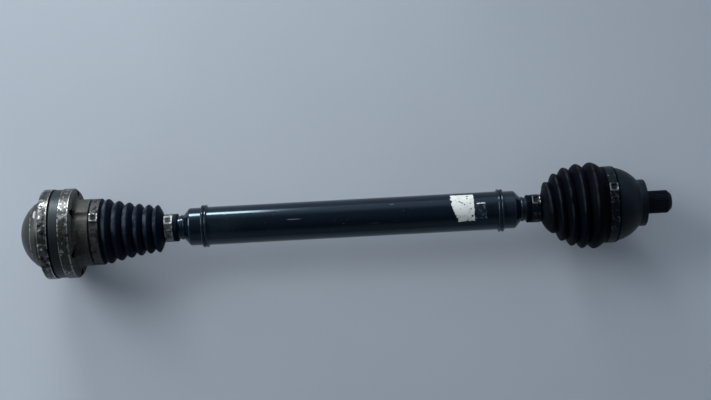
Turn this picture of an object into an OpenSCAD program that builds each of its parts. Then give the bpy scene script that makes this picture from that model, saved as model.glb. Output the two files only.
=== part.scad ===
// Front drive axle shaft with a plunging ball joint at the gearbox end and a fixed ball joint at the wheel end.
// The shaft lies along X. The origin is the centre of the gearbox flange face, +X points to the wheel, +Z is up.

/* [Overall] */
// Distance from the inboard joint centre to the inboard weld
inboard_weld_reach = 171.2; // [165:0.1:190]
// Length of the tube between the two welds
tube_l = 354.8; // [300:0.1:400]
// Distance from the outboard weld to the outboard joint centre
outboard_weld_reach = 130; // [126:0.1:150]

/* [Tube and stub shafts] */
// Outside diameter of the tube
tube_d = 46; // [40:0.5:52]
// Wall thickness of the tube
tube_wall = 4; // [2.5:0.1:6]
// Radius of one rolled weld bead
weld_bead_r = 1.9; // [1.2:0.1:2.5]
// Diameter of the bare shaft beside the boots
neck_d = 28; // [26:0.1:30]
// Diameter of the shaft inside the boots
core_d = 25.6; // [24:0.1:26.4]
// Length of the flare from neck to weld shoulder
flare_l = 7.6; // [6:0.1:12]
// Depth of the recess behind each weld
weld_recess_l = 12; // [6:0.5:18]

/* [Gearbox flange] */
// Outside diameter of the flange
flange_d = 108; // [106:0.5:114]
// Width of the flange with both sheet covers
flange_w = 40; // [38:0.5:44]
// Diameter of the bolt circle
bolt_pcd = 94; // [92:0.5:96]
// Diameter of each bolt hole
bolt_hole_d = 10.5; // [8.5:0.1:11]
// Thickness of the pressed sheet covers
sheet_t = 1.6; // [1:0.1:2]
// Width of the band of the end cap round the ring
cap_lip_w = 11.5; // [8:0.1:13]
// Width of the band of the boot cover round the ring
cover_lip_w = 17; // [12:0.1:20]
// Height of the domed end cap
dome_h = 30; // [26:0.5:36]
// Outside radius of the dome where it meets the rim
dome_rim_r = 41; // [39:0.1:41.4]
// Radius of the spherical part of the dome
dome_sphere_r = 46.5; // [44:0.5:56]
// Thickness of the rubber seal beside the cap band
seal_w = 1.2; // [0.6:0.1:2]
// Outside radius of the boot cover collar
collar_r = 40.4; // [39:0.1:41.5]
// Length of the boot cover collar
collar_l = 17; // [12:0.1:22]
// Radius of the pocket for each bolt head
bolt_head_r = 8.6; // [7.6:0.1:9]

/* [Inboard ball joint] */
// Ball diameter
inboard_ball_d = 21; // [19:0.1:22]
// Radius of the ball circle
inboard_pitch_r = 32; // [31.5:0.1:32.5]
// Half length of the inner race
inboard_race_half = 16; // [14:0.1:16]
// Half width of the ball cage
inboard_cage_half = 13; // [12.2:0.1:13.4]
// Clearance between a ball and its straight track
inboard_track_gap = 0.65; // [0.6:0.01:0.8]

/* [Outboard ball joint] */
// Ball diameter
outboard_ball_d = 18; // [17:0.1:18.4]
// Radius of the ball circle
outboard_pitch_r = 29.5; // [29.2:0.1:29.8]
// Half width of the inner race
outboard_race_half = 11; // [10:0.1:12]
// Half width of the ball cage
outboard_cage_half = 12; // [11:0.1:12.4]
// Clearance between a ball and its curved track
outboard_track_gap = 1.04; // [1.02:0.01:1.15]
// Outside radius of the bell
bell_r = 45; // [44:0.1:46]
// Radius of the boot seat on the bell
bell_seat_r = 43; // [42.6:0.1:43.4]
// Distance from the joint centre to the mouth of the bell
bell_mouth = 17; // [16:0.1:18]
// Distance from the joint centre to the bearing shoulder
shoulder_x = 44; // [42:0.1:50]
// Radius of the bearing shoulder
shoulder_r = 28; // [26:0.1:30]
// Length of the splined stub
stub_l = 32; // [26:0.5:45]
// Tip diameter of the stub spline
stub_d = 27.4; // [26:0.1:28]
// Thread core diameter of the hub bolt hole
hub_bolt_d = 14.5; // [12:0.1:14.6]
// Depth of the hub bolt hole
hub_bolt_l = 34; // [24:0.5:38]

/* [Splines] */
// Number of teeth
spline_teeth = 36; // [28:1:40]
// Height of a tooth
spline_h = 0.9; // [0.7:0.05:1]
// Clearance round the teeth
spline_gap = 0.08; // [0.05:0.01:0.12]

/* [Boots] */
// Number of folds of the inboard boot
inboard_folds = 6; // [4:1:7]
// Pitch of the first inboard fold
inboard_pitch = 12.44; // [11:0.01:13]
// Change of pitch from fold to fold
inboard_pitch_step = 0.32; // [0:0.01:0.4]
// Radius of the largest inboard fold
inboard_fold_big_r = 38.9; // [38:0.1:41]
// Radius of the smallest inboard fold
inboard_fold_small_r = 28.7; // [27:0.1:31]
// Depth of an inboard fold
inboard_fold_h = 5.4; // [3:0.1:6.5]
// Number of folds of the outboard boot
outboard_folds = 5; // [4:1:5]
// Pitch of the last outboard fold
outboard_pitch = 15.35; // [13:0.01:15.6]
// Change of pitch from fold to fold
outboard_pitch_step = 1.65; // [1:0.01:2]
// Radius of the largest outboard fold
outboard_fold_big_r = 51.9; // [50:0.1:53]
// Radius of the smallest outboard fold
outboard_fold_small_r = 31.2; // [29:0.1:33]
// Depth of an outboard fold
outboard_fold_h = 5.6; // [3:0.1:6.5]
// Distance from the outboard joint centre back to the last fold top
outboard_last_reach = 19.9; // [18.5:0.1:22]
// Distance from the outboard sleeve to the first fold top
outboard_throat_l = 8.6; // [7:0.1:11]
// Length of the large end of the outboard boot
outboard_cuff_l = 15.4; // [14.8:0.1:18]
// Thickness of the large end of the outboard boot
outboard_cuff_wall = 2.3; // [1.6:0.1:3]
// Thickness of a fold, measured along the radius
boot_wall = 3; // [2.2:0.1:3.4]
// Thickness of the small boot ends
sleeve_wall = 2.1; // [1.6:0.1:3]
// Height of the lip that keeps a clamp in place
boot_lip_h = 0.5; // [0.3:0.1:0.9]

/* [Clamps] */
// Width of a clamp band
band_w = 10; // [8:0.1:10.4]
// Thickness of a clamp band
band_t = 0.8; // [0.5:0.05:1]
// Length of a clamp ear round the band
ear_l = 11; // [8:0.5:14]
// Height of a clamp ear
ear_h = 3.2; // [2:0.1:4]
// Angle of the ear of each clamp from the top, from the inboard end to the outboard end
ear_angles = [27, 37, 35, 26]; // [0:1:60]
// Angle that the outer end of a band overlaps
overlap_angle = 80; // [60:1:120]

/* [Fits] */
// Clearance between seated round faces
fit = 0.06; // [0.02:0.01:0.1]
// Clearance between sliding spherical faces
slip = 0.35; // [0.3:0.01:0.5]

/* [Hidden] */
$fn = 96;
ball_n = 6;
bolt_n = 6;
ball_step = 360 / ball_n;
bolt_first = ball_step / 2;
flange_r = flange_d / 2;
tube_r = tube_d / 2;
neck_r = neck_d / 2;
core_r = core_d / 2;
inboard_x = flange_w / 2;
joint_span = inboard_weld_reach + tube_l + outboard_weld_reach;
outboard_x = inboard_x + joint_span;
weld_in_x = inboard_x + inboard_weld_reach;
weld_out_x = weld_in_x + tube_l;
ring_seat_r = flange_r - sheet_t - fit;
ring_band_r = flange_r - 1;
dome_centre_x = dome_sphere_r - dome_h;
inboard_ball_r = inboard_ball_d / 2;
inboard_bore_r = inboard_pitch_r + 4;
inboard_race_r = inboard_pitch_r - 4.5;
inboard_race_end_r = inboard_race_r - 4;
outboard_ball_r = outboard_ball_d / 2;
bell_bore_r = outboard_pitch_r + 4.2;
outboard_cage_r = bell_bore_r - slip;
outboard_race_r = outboard_pitch_r - 1;
outboard_tilt = 45;
race_edge = acos(outboard_race_half / outboard_race_r);
bell_bottom = outboard_race_r * cos(max(race_edge - outboard_tilt, 0)) + 0.9;
spline_r = core_r;
washer_l = 3;
clip_w = 1.6;
clip_gap = 0.2;

cover_neck_r = collar_r - 4.2;
cuff_x = flange_w + collar_l + 0.8;
cuff_l = 13;
cuff_r = collar_r - 1.4;
inboard_first_x = cuff_x + cuff_l + 5.6;
inboard_last_x = inboard_peak_x(inboard_folds - 1);
inboard_sleeve_x = inboard_last_x + 6.4;
sleeve_l = 17;
inboard_sleeve_end = inboard_sleeve_x + sleeve_l;
sleeve_r = neck_r + sleeve_wall;

outboard_last_x = outboard_x - outboard_last_reach;
outboard_first_x = outboard_peak_x(0);
outboard_sleeve_x = outboard_first_x - outboard_throat_l;
outboard_sleeve_end = outboard_sleeve_x - sleeve_l - 1.5;
outboard_cuff_r = bell_seat_r + outboard_cuff_wall;
outboard_cuff_x = outboard_x - 8;
outboard_cuff_end = outboard_cuff_x + outboard_cuff_l;

inboard_large_clamp_x = cuff_x + 1;
inboard_small_clamp_x = inboard_sleeve_x + 1.4;
outboard_small_clamp_x = outboard_sleeve_x - 2.4 - band_w;
outboard_large_clamp_x = outboard_x - 4.4;

// Places of the fold tops along the shaft, and their radii
function inboard_peak_x(i) = inboard_first_x + i * inboard_pitch - inboard_pitch_step * i * (i - 1) / 2;
function inboard_peak_r(i) = inboard_fold_small_r
    + (inboard_fold_big_r - inboard_fold_small_r) * pow(1 - i / (inboard_folds - 1), 1.5);
function back(i) = outboard_folds - 1 - i;
function outboard_peak_x(i) = outboard_last_x - back(i) * outboard_pitch
    + outboard_pitch_step * back(i) * (back(i) - 1) / 2;
function outboard_peak_r(i) = outboard_fold_big_r
    - (outboard_fold_big_r - outboard_fold_small_r) * pow(back(i) / (outboard_folds - 1), 2.2);

// Tops and bottoms of the folds in turn, each as radius and place
function inboard_knots() = [
    for (k = [-1 : 2 * inboard_folds - 2])
    let (i = floor(k / 2), top = k % 2 == 0)
        top ? [inboard_peak_r(i), inboard_peak_x(i)]
        : k < 0 ? [inboard_fold_big_r - inboard_fold_h / 2 - 0.6, inboard_first_x - inboard_pitch * 0.42]
        : [
            (inboard_peak_r(i) + inboard_peak_r(i + 1)) / 2 - inboard_fold_h,
            (inboard_peak_x(i) + inboard_peak_x(i + 1)) / 2
        ]
];
function outboard_knots() = [
    for (k = [0 : 2 * outboard_folds - 2])
    let (i = floor(k / 2), top = k % 2 == 0)
        top ? [outboard_peak_r(i), outboard_peak_x(i)]
        : [
            (outboard_peak_r(i) + outboard_peak_r(i + 1)) / 2 - outboard_fold_h,
            (outboard_peak_x(i) + outboard_peak_x(i + 1)) / 2
        ]
];

// A wave with straight sides and round tops, from 0 to 1
function wave(t) = 0.5 - asin(0.95 * cos(180 * t)) / (2 * asin(0.95));
function between(a, b, t) = [a[0] + (b[0] - a[0]) * wave(t), a[1] + (b[1] - a[1]) * t];
function fold_line(knots, sink) = [
    for (k = [0 : len(knots) - 2])
    for (s = [0 : 7])
    let (p = between(knots[k], knots[k + 1], s / 8))
        [p[0] - sink, p[1]]
];
function last(v) = v[len(v) - 1];
function reversed(v) = [for (i = [len(v) - 1 : -1 : 0]) v[i]];

// Outline of a splined shaft
function spline_outline(tip, root) = [
    for (i = [0 : spline_teeth - 1])
    for (c = [[-0.14, tip], [0.14, tip], [0.36, root], [0.64, root]])
    let (a = (i + c[0]) * 360 / spline_teeth)
        [c[1] * cos(a), c[1] * sin(a)]
];

inboard_ball_names = [for (i = [1 : ball_n]) str("inboard_ball_", i)];
outboard_ball_names = [for (i = [1 : ball_n]) str("outboard_ball_", i)];

// Turns an outline of radius and place about the shaft axis
module turned() {
    rotate([0, 90, 0])
        rotate_extrude()
            children();
}

// Places a shape whose own axis is Z along the shaft axis at x
module along(x) {
    translate([x, 0, 0])
        rotate([0, 90, 0])
            children();
}

// A plain disc or drum from x to x + l
module drum(r, x, l) {
    along(x)
        cylinder(r = r, h = l);
}

// A toothed shaft from x to x + l
module splined(tip, x, l) {
    along(x)
        linear_extrude(height = l)
            polygon(spline_outline(tip, tip - spline_h));
}

// Repeats a shape evenly round the shaft axis, the first at the top
module around(n, first = 0) {
    for (i = [0 : n - 1])
        rotate([i * 360 / n + first, 0, 0])
            children();
}

// The six bolt holes between the ball tracks
module bolt_holes() {
    around(bolt_n, bolt_first)
        translate([-1, 0, bolt_pcd / 2])
            rotate([0, 90, 0])
                cylinder(d = bolt_hole_d, h = flange_w + 2);
}

// What a round corner takes off the outside of a sheet edge
module corner_waste(r, x, size, side) {
    difference() {
        translate([r - size, side > 0 ? x : x - size])
            square([size + 1, size]);
        translate([r - size, x + side * size])
            circle(size);
    }
}

module shaft_tube() {
    color("#15161a")
    turned() {
        translate([tube_r - tube_wall, weld_in_x])
            square([tube_wall, tube_l]);
        translate([tube_r + 0.9, weld_in_x + weld_bead_r])
            circle(weld_bead_r);
        translate([tube_r + 0.9, weld_out_x - weld_bead_r])
            circle(weld_bead_r);
    }
}

// One forged stub from its inner end to its weld, drawn outward from the joint
module stub_outline(race_half, seat_from, seat_to, weld) {
    flare_end = seat_to + 6.8 + flare_l;
    polygon([
        [0, -race_half - clip_w - 2.4],
        [spline_r - spline_h - 0.1, -race_half - clip_w - 2.4],
        [spline_r - spline_h - 0.1, race_half + washer_l],
        [core_r + 1.4, race_half + washer_l],
        [core_r + 1.4, race_half + washer_l + 3],
        [core_r, race_half + washer_l + 4.4],
        [core_r, seat_from - 4],
        [neck_r, seat_from - 2],
        [neck_r, seat_to + 3.2],
        [neck_r + 0.9, seat_to + 3.9],
        [neck_r + 0.9, seat_to + 5.6],
        [neck_r + 0.3, seat_to + 6.8],
        [tube_r - 0.8, flare_end - 0.6],
        [tube_r - 0.4, flare_end],
        [tube_r - 0.4, weld],
        [tube_r - tube_wall, weld],
        [tube_r - tube_wall, weld - weld_recess_l + 3],
        [tube_r - tube_wall - 3, weld - weld_recess_l],
        [0, weld - weld_recess_l - 3]
    ]);
}

module stub_shaft(race_half, seat_from, seat_to, weld) {
    difference() {
        union() {
            rotate_extrude() {
                stub_outline(race_half, seat_from, seat_to, weld);
                translate([tube_r + 0.9, weld - weld_bead_r])
                    circle(weld_bead_r);
            }
            translate([0, 0, -race_half - clip_w - 2.4])
                linear_extrude(height = 2 * race_half + clip_w + 2.4 + washer_l + 1)
                    polygon(spline_outline(spline_r, spline_r - spline_h));
        }
        translate([0, 0, -race_half - clip_w - clip_gap])
            difference() {
                cylinder(r = spline_r + 1, h = clip_w + clip_gap);
                cylinder(r = spline_r - 2, h = clip_w + clip_gap);
            }
    }
}

module inboard_stub_shaft() {
    color("#1d1d20")
    along(inboard_x)
        stub_shaft(
            inboard_race_half,
            inboard_sleeve_x - inboard_x,
            inboard_sleeve_end - inboard_x,
            inboard_weld_reach
        );
}

module outboard_stub_shaft() {
    color("#1d1d20")
    translate([outboard_x, 0, 0])
        rotate([0, -90, 0])
            stub_shaft(
                outboard_race_half,
                outboard_x - outboard_sleeve_x,
                outboard_x - outboard_sleeve_end,
                outboard_x - weld_out_x
            );
}

module inboard_joint_ring() {
    color("#3c3d3f")
    difference() {
        turned()
            polygon([
                [inboard_bore_r, sheet_t],
                [ring_seat_r - 1.5, sheet_t],
                [ring_seat_r, sheet_t + 1.5],
                [ring_seat_r, cap_lip_w + seal_w],
                [ring_band_r, cap_lip_w + seal_w],
                [ring_band_r, flange_w - cover_lip_w],
                [ring_seat_r, flange_w - cover_lip_w],
                [ring_seat_r, flange_w - sheet_t - 1.5],
                [ring_seat_r - 1.5, flange_w - sheet_t],
                [inboard_bore_r, flange_w - sheet_t]
            ]);
        around(ball_n)
            translate([0, 0, inboard_pitch_r])
                rotate([0, 90, 0])
                    cylinder(r = inboard_ball_r + inboard_track_gap, h = flange_w);
        bolt_holes();
    }
}

module inboard_end_cap() {
    color("#8c8a84")
    difference() {
        turned()
            difference() {
                union() {
                    intersection() {
                        translate([0, dome_centre_x])
                            circle(dome_sphere_r);
                        translate([0, -dome_h])
                            square([dome_rim_r, dome_h + sheet_t]);
                    }
                    square([flange_r, sheet_t]);
                    translate([flange_r - sheet_t, 0])
                        square([sheet_t, cap_lip_w]);
                    dome_bead(dome_h * 0.64);
                    dome_bead(dome_h * 0.35);
                }
                intersection() {
                    translate([0, dome_centre_x])
                        circle(dome_sphere_r - sheet_t);
                    translate([0, -dome_h])
                        square([dome_rim_r - sheet_t, dome_h + sheet_t + 1]);
                }
                corner_waste(flange_r, 0, 1.4, 1);
            }
        bolt_holes();
    }
}

// A low pressed bead round the dome at a height above the rim
module dome_bead(h) {
    translate([sqrt(pow(dome_sphere_r, 2) - pow(dome_centre_x + h, 2)) - 0.3, -h])
        circle(0.8, $fn = 24);
}

module end_cap_seal() {
    color("#0d0d0d")
    turned()
        translate([ring_seat_r + fit, cap_lip_w])
            square([sheet_t - 0.3, seal_w]);
}

module boot_cover() {
    color("#77746a")
    difference() {
        union() {
            turned() {
                difference() {
                    union() {
                        translate([flange_r - sheet_t, flange_w - cover_lip_w])
                            square([sheet_t, cover_lip_w]);
                        translate([collar_r - sheet_t, flange_w - sheet_t])
                            square([flange_r - collar_r + sheet_t, sheet_t]);
                    }
                    corner_waste(flange_r, flange_w, 1.4, -1);
                }
                translate([collar_r - sheet_t, flange_w - sheet_t])
                    square([sheet_t, collar_l + sheet_t]);
                translate([cover_neck_r - sheet_t, flange_w + collar_l - sheet_t])
                    square([collar_r - cover_neck_r + sheet_t, sheet_t]);
                translate([cover_neck_r - sheet_t, flange_w + collar_l - sheet_t])
                    square([sheet_t, cuff_l]);
            }
            intersection() {
                drum(collar_r, flange_w - sheet_t, collar_l + sheet_t);
                head_pockets(bolt_head_r + sheet_t, flange_w - sheet_t, collar_l + sheet_t);
            }
        }
        head_pockets(bolt_head_r, flange_w, collar_l + 1);
        bolt_holes();
    }
}

// Room for the six bolt heads beside the collar
module head_pockets(r, x, l) {
    around(bolt_n, bolt_first)
        translate([x, 0, bolt_pcd / 2])
            rotate([0, 90, 0])
                cylinder(r = r, h = l);
}

module inboard_inner_race() {
    color("#6d6e70")
    difference() {
        turned()
            polygon([
                [0, inboard_x - inboard_race_half],
                [inboard_race_end_r, inboard_x - inboard_race_half],
                [inboard_race_r, inboard_x - inboard_race_half + 4],
                [inboard_race_r, inboard_x + inboard_race_half - 4],
                [inboard_race_end_r, inboard_x + inboard_race_half],
                [0, inboard_x + inboard_race_half]
            ]);
        around(ball_n)
            translate([inboard_x - inboard_race_half - 1, 0, inboard_pitch_r])
                rotate([0, 90, 0])
                    cylinder(r = inboard_ball_r + inboard_track_gap, h = 2 * inboard_race_half + 2);
        splined(spline_r + spline_gap, inboard_x - inboard_race_half - 1, 2 * inboard_race_half + 2);
    }
}

module inboard_cage() {
    color("#7d7e80")
    difference() {
        turned()
            intersection() {
                difference() {
                    translate([0, inboard_x])
                        circle(inboard_bore_r - slip);
                    translate([0, inboard_x - inboard_bore_r])
                        square([inboard_race_r + 3.4, 2 * inboard_bore_r]);
                }
                translate([0, inboard_x - inboard_cage_half])
                    square([inboard_bore_r, 2 * inboard_cage_half]);
            }
        around(ball_n)
            translate([inboard_x, 0, inboard_pitch_r])
                cube([inboard_ball_d + 2 * fit, inboard_ball_d + 2.5, 14], center = true);
    }
}

module inboard_ball(i) {
    color("#b9bcc0")
    rotate([(i - 1) * ball_step, 0, 0])
        translate([inboard_x, 0, inboard_pitch_r])
            sphere(d = inboard_ball_d);
}

// An open spring ring in the groove at the end of a stub shaft
module circlip(x) {
    along(x)
        rotate([0, 0, 20])
            rotate_extrude(angle = 320)
                translate([spline_r - 2 + fit, 0])
                    square([3.4, clip_w]);
}

module inboard_circlip() {
    color("#4a4b4d")
    circlip(inboard_x - inboard_race_half - clip_w - clip_gap / 2);
}

// A dished spring washer between a race and the shoulder of its shaft
module spring_washer() {
    rotate_extrude()
        polygon([
            [spline_r + 0.3, washer_l - 1.4],
            [spline_r + 5, fit],
            [spline_r + 5, 1.2],
            [spline_r + 1.3, washer_l - fit],
            [spline_r + 0.3, washer_l - fit]
        ]);
}

module inboard_spring_washer() {
    color("#55565a")
    along(inboard_x + inboard_race_half)
        spring_washer();
}

module inboard_boot() {
    knots = inboard_knots();
    start = knots[0];
    end = last(knots);
    outside = concat(
        [
            [cuff_r + boot_lip_h, cuff_x],
            [cuff_r + boot_lip_h, cuff_x + 0.9],
            [cuff_r, cuff_x + 0.9],
            [cuff_r, cuff_x + 1.2 + band_w],
            [start[0], start[1] - 1.6]
        ],
        fold_line(knots, 0),
        fold_line([end, [sleeve_r + 1, inboard_sleeve_x]], 0),
        [
            [sleeve_r, inboard_sleeve_x + 0.6],
            [sleeve_r, inboard_small_clamp_x + band_w + 0.4],
            [sleeve_r + boot_lip_h, inboard_small_clamp_x + band_w + 0.6],
            [sleeve_r + boot_lip_h, inboard_sleeve_end - 0.6],
            [sleeve_r, inboard_sleeve_end]
        ]
    );
    inside = concat(
        [
            [cover_neck_r + fit, cuff_x],
            [cover_neck_r + fit, flange_w + collar_l + cuff_l - sheet_t + 0.2],
            [start[0] - boot_wall, start[1] - 0.6]
        ],
        fold_line(knots, boot_wall),
        fold_line([end - [boot_wall, 0.3], [neck_r + fit + 0.4, inboard_sleeve_x - 2.2]], 0),
        [
            [neck_r + fit, inboard_sleeve_x - 1.4],
            [neck_r + fit, inboard_sleeve_end]
        ]
    );
    color("#101010")
    turned()
        polygon(concat(outside, reversed(inside)));
}

module outboard_boot() {
    knots = outboard_knots();
    start = knots[0];
    end = last(knots);
    outside = concat(
        [
            [sleeve_r, outboard_sleeve_end],
            [sleeve_r + boot_lip_h, outboard_sleeve_end + 0.6],
            [sleeve_r + boot_lip_h, outboard_small_clamp_x - 0.6],
            [sleeve_r, outboard_small_clamp_x - 0.4],
            [sleeve_r, outboard_sleeve_x - 1]
        ],
        fold_line([[sleeve_r + 1, outboard_sleeve_x], start], 0),
        fold_line(knots, 0),
        fold_line([end, [outboard_cuff_r + boot_lip_h, outboard_cuff_x]], 0),
        [
            [outboard_cuff_r + boot_lip_h, outboard_large_clamp_x - 0.8],
            [outboard_cuff_r, outboard_large_clamp_x - 0.4],
            [outboard_cuff_r, outboard_large_clamp_x + band_w + 0.4],
            [outboard_cuff_r + boot_lip_h, outboard_large_clamp_x + band_w + 0.6],
            [outboard_cuff_r, outboard_cuff_end]
        ]
    );
    inside = concat(
        [
            [neck_r + fit, outboard_sleeve_end],
            [neck_r + fit, outboard_sleeve_x + 1.4]
        ],
        fold_line([[neck_r + fit + 0.4, outboard_sleeve_x + 2.2], start - [boot_wall, -0.3]], 0),
        fold_line(knots, boot_wall),
        fold_line([end - [boot_wall, 0], [bell_seat_r + fit, outboard_x - bell_mouth - 0.2]], 0),
        [
            [bell_seat_r + fit, outboard_x - bell_mouth],
            [bell_seat_r + fit, outboard_cuff_end]
        ]
    );
    color("#101010")
    turned()
        polygon(concat(outside, reversed(inside)));
}

// A crimped ear clamp whose band lies on a seat of radius seat_r from x to x + band_w
module ear_clamp(x, seat_r, ear_angle) {
    r = seat_r + fit;
    top = r + band_t;
    difference() {
        union() {
            turned()
                translate([r, x])
                    square([band_t, band_w]);
            along(x)
                rotate([0, 0, 180 - ear_angle])
                    rotate_extrude(angle = overlap_angle)
                        translate([top - 0.1, 0.4])
                            square([band_t + 0.1, band_w - 0.8]);
            rotate([-ear_angle, 0, 0])
                translate([x, 0, top])
                    rotate([90, 0, 90])
                        linear_extrude(height = band_w)
                            ear_outline(top);
        }
        for (k = [1 : 3])
            rotate([-ear_angle + 90 / seat_r * 6 + k * 160 / seat_r, 0, 0])
                translate([x + band_w / 2, 0, top])
                    cube([band_w * 0.36, 2.6, 3 * band_t], center = true);
    }
}

// The folded ear seen along the shaft, standing on the band
module ear_outline(top) {
    sag = top - sqrt(pow(top, 2) - pow(ear_l / 2, 2));
    difference() {
        polygon([
            [-ear_l / 2, -sag - 0.4],
            [ear_l / 2, -sag - 0.4],
            [ear_l / 2, ear_h - 1.2],
            [ear_l / 2 - 1.2, ear_h],
            [1.4 - ear_l / 2, ear_h],
            [-ear_l / 2, ear_h - 1.6]
        ]);
        polygon([
            [1 - ear_l / 2, ear_h - 2],
            [1.8 - ear_l / 2, ear_h - band_t - 0.2],
            [ear_l / 2 - 1.8, ear_h - band_t - 0.2],
            [ear_l / 2 - 1, ear_h - 2],
            [ear_l / 2 - 1, 0.3],
            [1 - ear_l / 2, 0.3]
        ]);
        translate([0, -top])
            circle(top - 0.3);
    }
}

module inboard_large_clamp() {
    color("#9a9891")
    ear_clamp(inboard_large_clamp_x, cuff_r, ear_angles[0]);
}

module inboard_small_clamp() {
    color("#9a9891")
    ear_clamp(inboard_small_clamp_x, sleeve_r, ear_angles[1]);
}

module outboard_small_clamp() {
    color("#232323")
    ear_clamp(outboard_small_clamp_x, sleeve_r, ear_angles[2]);
}

module outboard_large_clamp() {
    color("#232323")
    ear_clamp(outboard_large_clamp_x, outboard_cuff_r, ear_angles[3]);
}

// The bell with its bearing shoulder, the six curved ball tracks and the splined stub
module outboard_bell() {
    seat_end = 8;
    stub_x = outboard_x + shoulder_x;
    color("#1b1b1e")
    difference() {
        union() {
            turned()
                difference() {
                    translate([0, outboard_x])
                        bell_outline(seat_end);
                    translate([0, outboard_x])
                        bell_cavity();
                }
            intersection() {
                splined(stub_d / 2, stub_x - 1, stub_l + 1);
                turned()
                    polygon([
                        [0, stub_x - 1],
                        [stub_d / 2 + 1, stub_x - 1],
                        [stub_d / 2 + 1, stub_x + stub_l - 3.4],
                        [stub_d / 2 - 2.4, stub_x + stub_l],
                        [0, stub_x + stub_l]
                    ]);
            }
            drum(stub_d / 2 - 0.3, stub_x - 1, 4);
        }
        around(ball_n)
            curved_track(62, 43);
        drum(hub_bolt_d / 2, stub_x + stub_l - hub_bolt_l, hub_bolt_l + 1);
        along(stub_x + stub_l - 2)
            cylinder(r1 = hub_bolt_d / 2, r2 = hub_bolt_d / 2 + 2.4, h = 2.4);
    }
}

// The outside of the bell from its mouth to the bearing shoulder
module bell_outline(seat_end) {
    intersection() {
        circle(bell_r);
        translate([0, seat_end])
            square([bell_r, shoulder_x - seat_end]);
    }
    translate([0, -bell_mouth])
        square([bell_seat_r, bell_mouth + seat_end + 1]);
    difference() {
        translate([0, bell_bottom])
            square([shoulder_r, shoulder_x - bell_bottom]);
        corner_waste(shoulder_r, shoulder_x, 1, -1);
    }
}

// The hollow of the bell, with a cone at its mouth for the tilted shaft
module bell_cavity() {
    intersection() {
        circle(bell_bore_r);
        translate([0, -bell_bore_r])
            square([bell_bore_r, bell_bore_r + bell_bottom]);
    }
    polygon([
        [0, -bell_mouth - 1],
        [bell_seat_r - 3.4, -bell_mouth - 1],
        [bell_seat_r - 4.6, -bell_mouth],
        [bell_bore_r - 2.3, -12],
        [0, -12]
    ]);
}

// A ball track bent round the joint centre, open towards the mouth
module curved_track(open_angle, closed_angle) {
    translate([outboard_x, 0, 0])
        rotate([-90, 0, 0])
            rotate([0, 0, -90 - open_angle])
                rotate_extrude(angle = open_angle + closed_angle)
                    translate([outboard_pitch_r, 0])
                        circle(outboard_ball_r + outboard_track_gap);
}

module outboard_inner_race() {
    color("#6d6e70")
    difference() {
        turned()
            intersection() {
                translate([0, outboard_x])
                    circle(outboard_race_r);
                translate([0, outboard_x - outboard_race_half])
                    square([outboard_race_r, 2 * outboard_race_half]);
            }
        around(ball_n)
            curved_track(50, 50);
        splined(spline_r + spline_gap, outboard_x - outboard_race_half - 1, 2 * outboard_race_half + 2);
    }
}

module outboard_cage() {
    color("#7d7e80")
    difference() {
        turned()
            intersection() {
                difference() {
                    translate([0, outboard_x])
                        circle(outboard_cage_r);
                    translate([0, outboard_x])
                        circle(outboard_race_r + slip);
                }
                translate([0, outboard_x - outboard_cage_half])
                    square([outboard_cage_r, 2 * outboard_cage_half]);
            }
        around(ball_n)
            translate([outboard_x, 0, outboard_pitch_r])
                cube([outboard_ball_d + 2 * fit, outboard_ball_d + 2.5, 14], center = true);
    }
}

module outboard_ball(i) {
    color("#b9bcc0")
    rotate([(i - 1) * ball_step, 0, 0])
        translate([outboard_x, 0, outboard_pitch_r])
            sphere(d = outboard_ball_d);
}

module outboard_circlip() {
    color("#4a4b4d")
    circlip(outboard_x + outboard_race_half + clip_gap / 2);
}

module outboard_spring_washer() {
    color("#55565a")
    translate([outboard_x - outboard_race_half, 0, 0])
        rotate([0, -90, 0])
            spring_washer();
}

shaft_tube();
inboard_stub_shaft();
outboard_stub_shaft();
inboard_joint_ring();
inboard_end_cap();
end_cap_seal();
boot_cover();
inboard_inner_race();
inboard_cage();
inboard_circlip();
inboard_spring_washer();
inboard_boot();
inboard_large_clamp();
inboard_small_clamp();
outboard_bell();
outboard_inner_race();
outboard_cage();
outboard_circlip();
outboard_spring_washer();
outboard_boot();
outboard_large_clamp();
outboard_small_clamp();
for (i = [1 : ball_n])
    inboard_ball(i);
for (i = [1 : ball_n])
    outboard_ball(i);
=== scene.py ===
"""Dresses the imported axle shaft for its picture.

Every piece is made in the frame of the part, in metres: X runs along the shaft from the gearbox flange to
the wheel, Z is up, and the origin is the centre of the flange face. Sizes below are in millimetres, and an
angle of a turned surface is measured from the top towards +Y.
"""
import logging
import math
from dataclasses import dataclass, field
from enum import Enum
from typing import Callable, ClassVar, Protocol, Sequence

import bmesh
import bpy
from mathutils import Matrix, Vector, noise


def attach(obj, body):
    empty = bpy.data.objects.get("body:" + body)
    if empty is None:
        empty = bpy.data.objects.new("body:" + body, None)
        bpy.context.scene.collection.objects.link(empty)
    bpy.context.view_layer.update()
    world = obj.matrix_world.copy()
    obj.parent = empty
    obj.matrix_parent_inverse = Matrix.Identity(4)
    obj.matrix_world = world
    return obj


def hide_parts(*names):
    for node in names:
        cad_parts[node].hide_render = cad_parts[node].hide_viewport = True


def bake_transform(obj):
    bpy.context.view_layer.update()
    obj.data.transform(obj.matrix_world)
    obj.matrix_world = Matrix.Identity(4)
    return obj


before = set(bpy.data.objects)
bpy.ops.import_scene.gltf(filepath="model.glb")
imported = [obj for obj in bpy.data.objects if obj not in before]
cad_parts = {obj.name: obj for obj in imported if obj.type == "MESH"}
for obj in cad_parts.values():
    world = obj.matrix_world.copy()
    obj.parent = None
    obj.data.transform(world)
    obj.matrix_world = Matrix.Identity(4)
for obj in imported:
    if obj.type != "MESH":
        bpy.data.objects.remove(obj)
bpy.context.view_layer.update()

MM = 0.001
LOG = logging.getLogger("axle")

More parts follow.
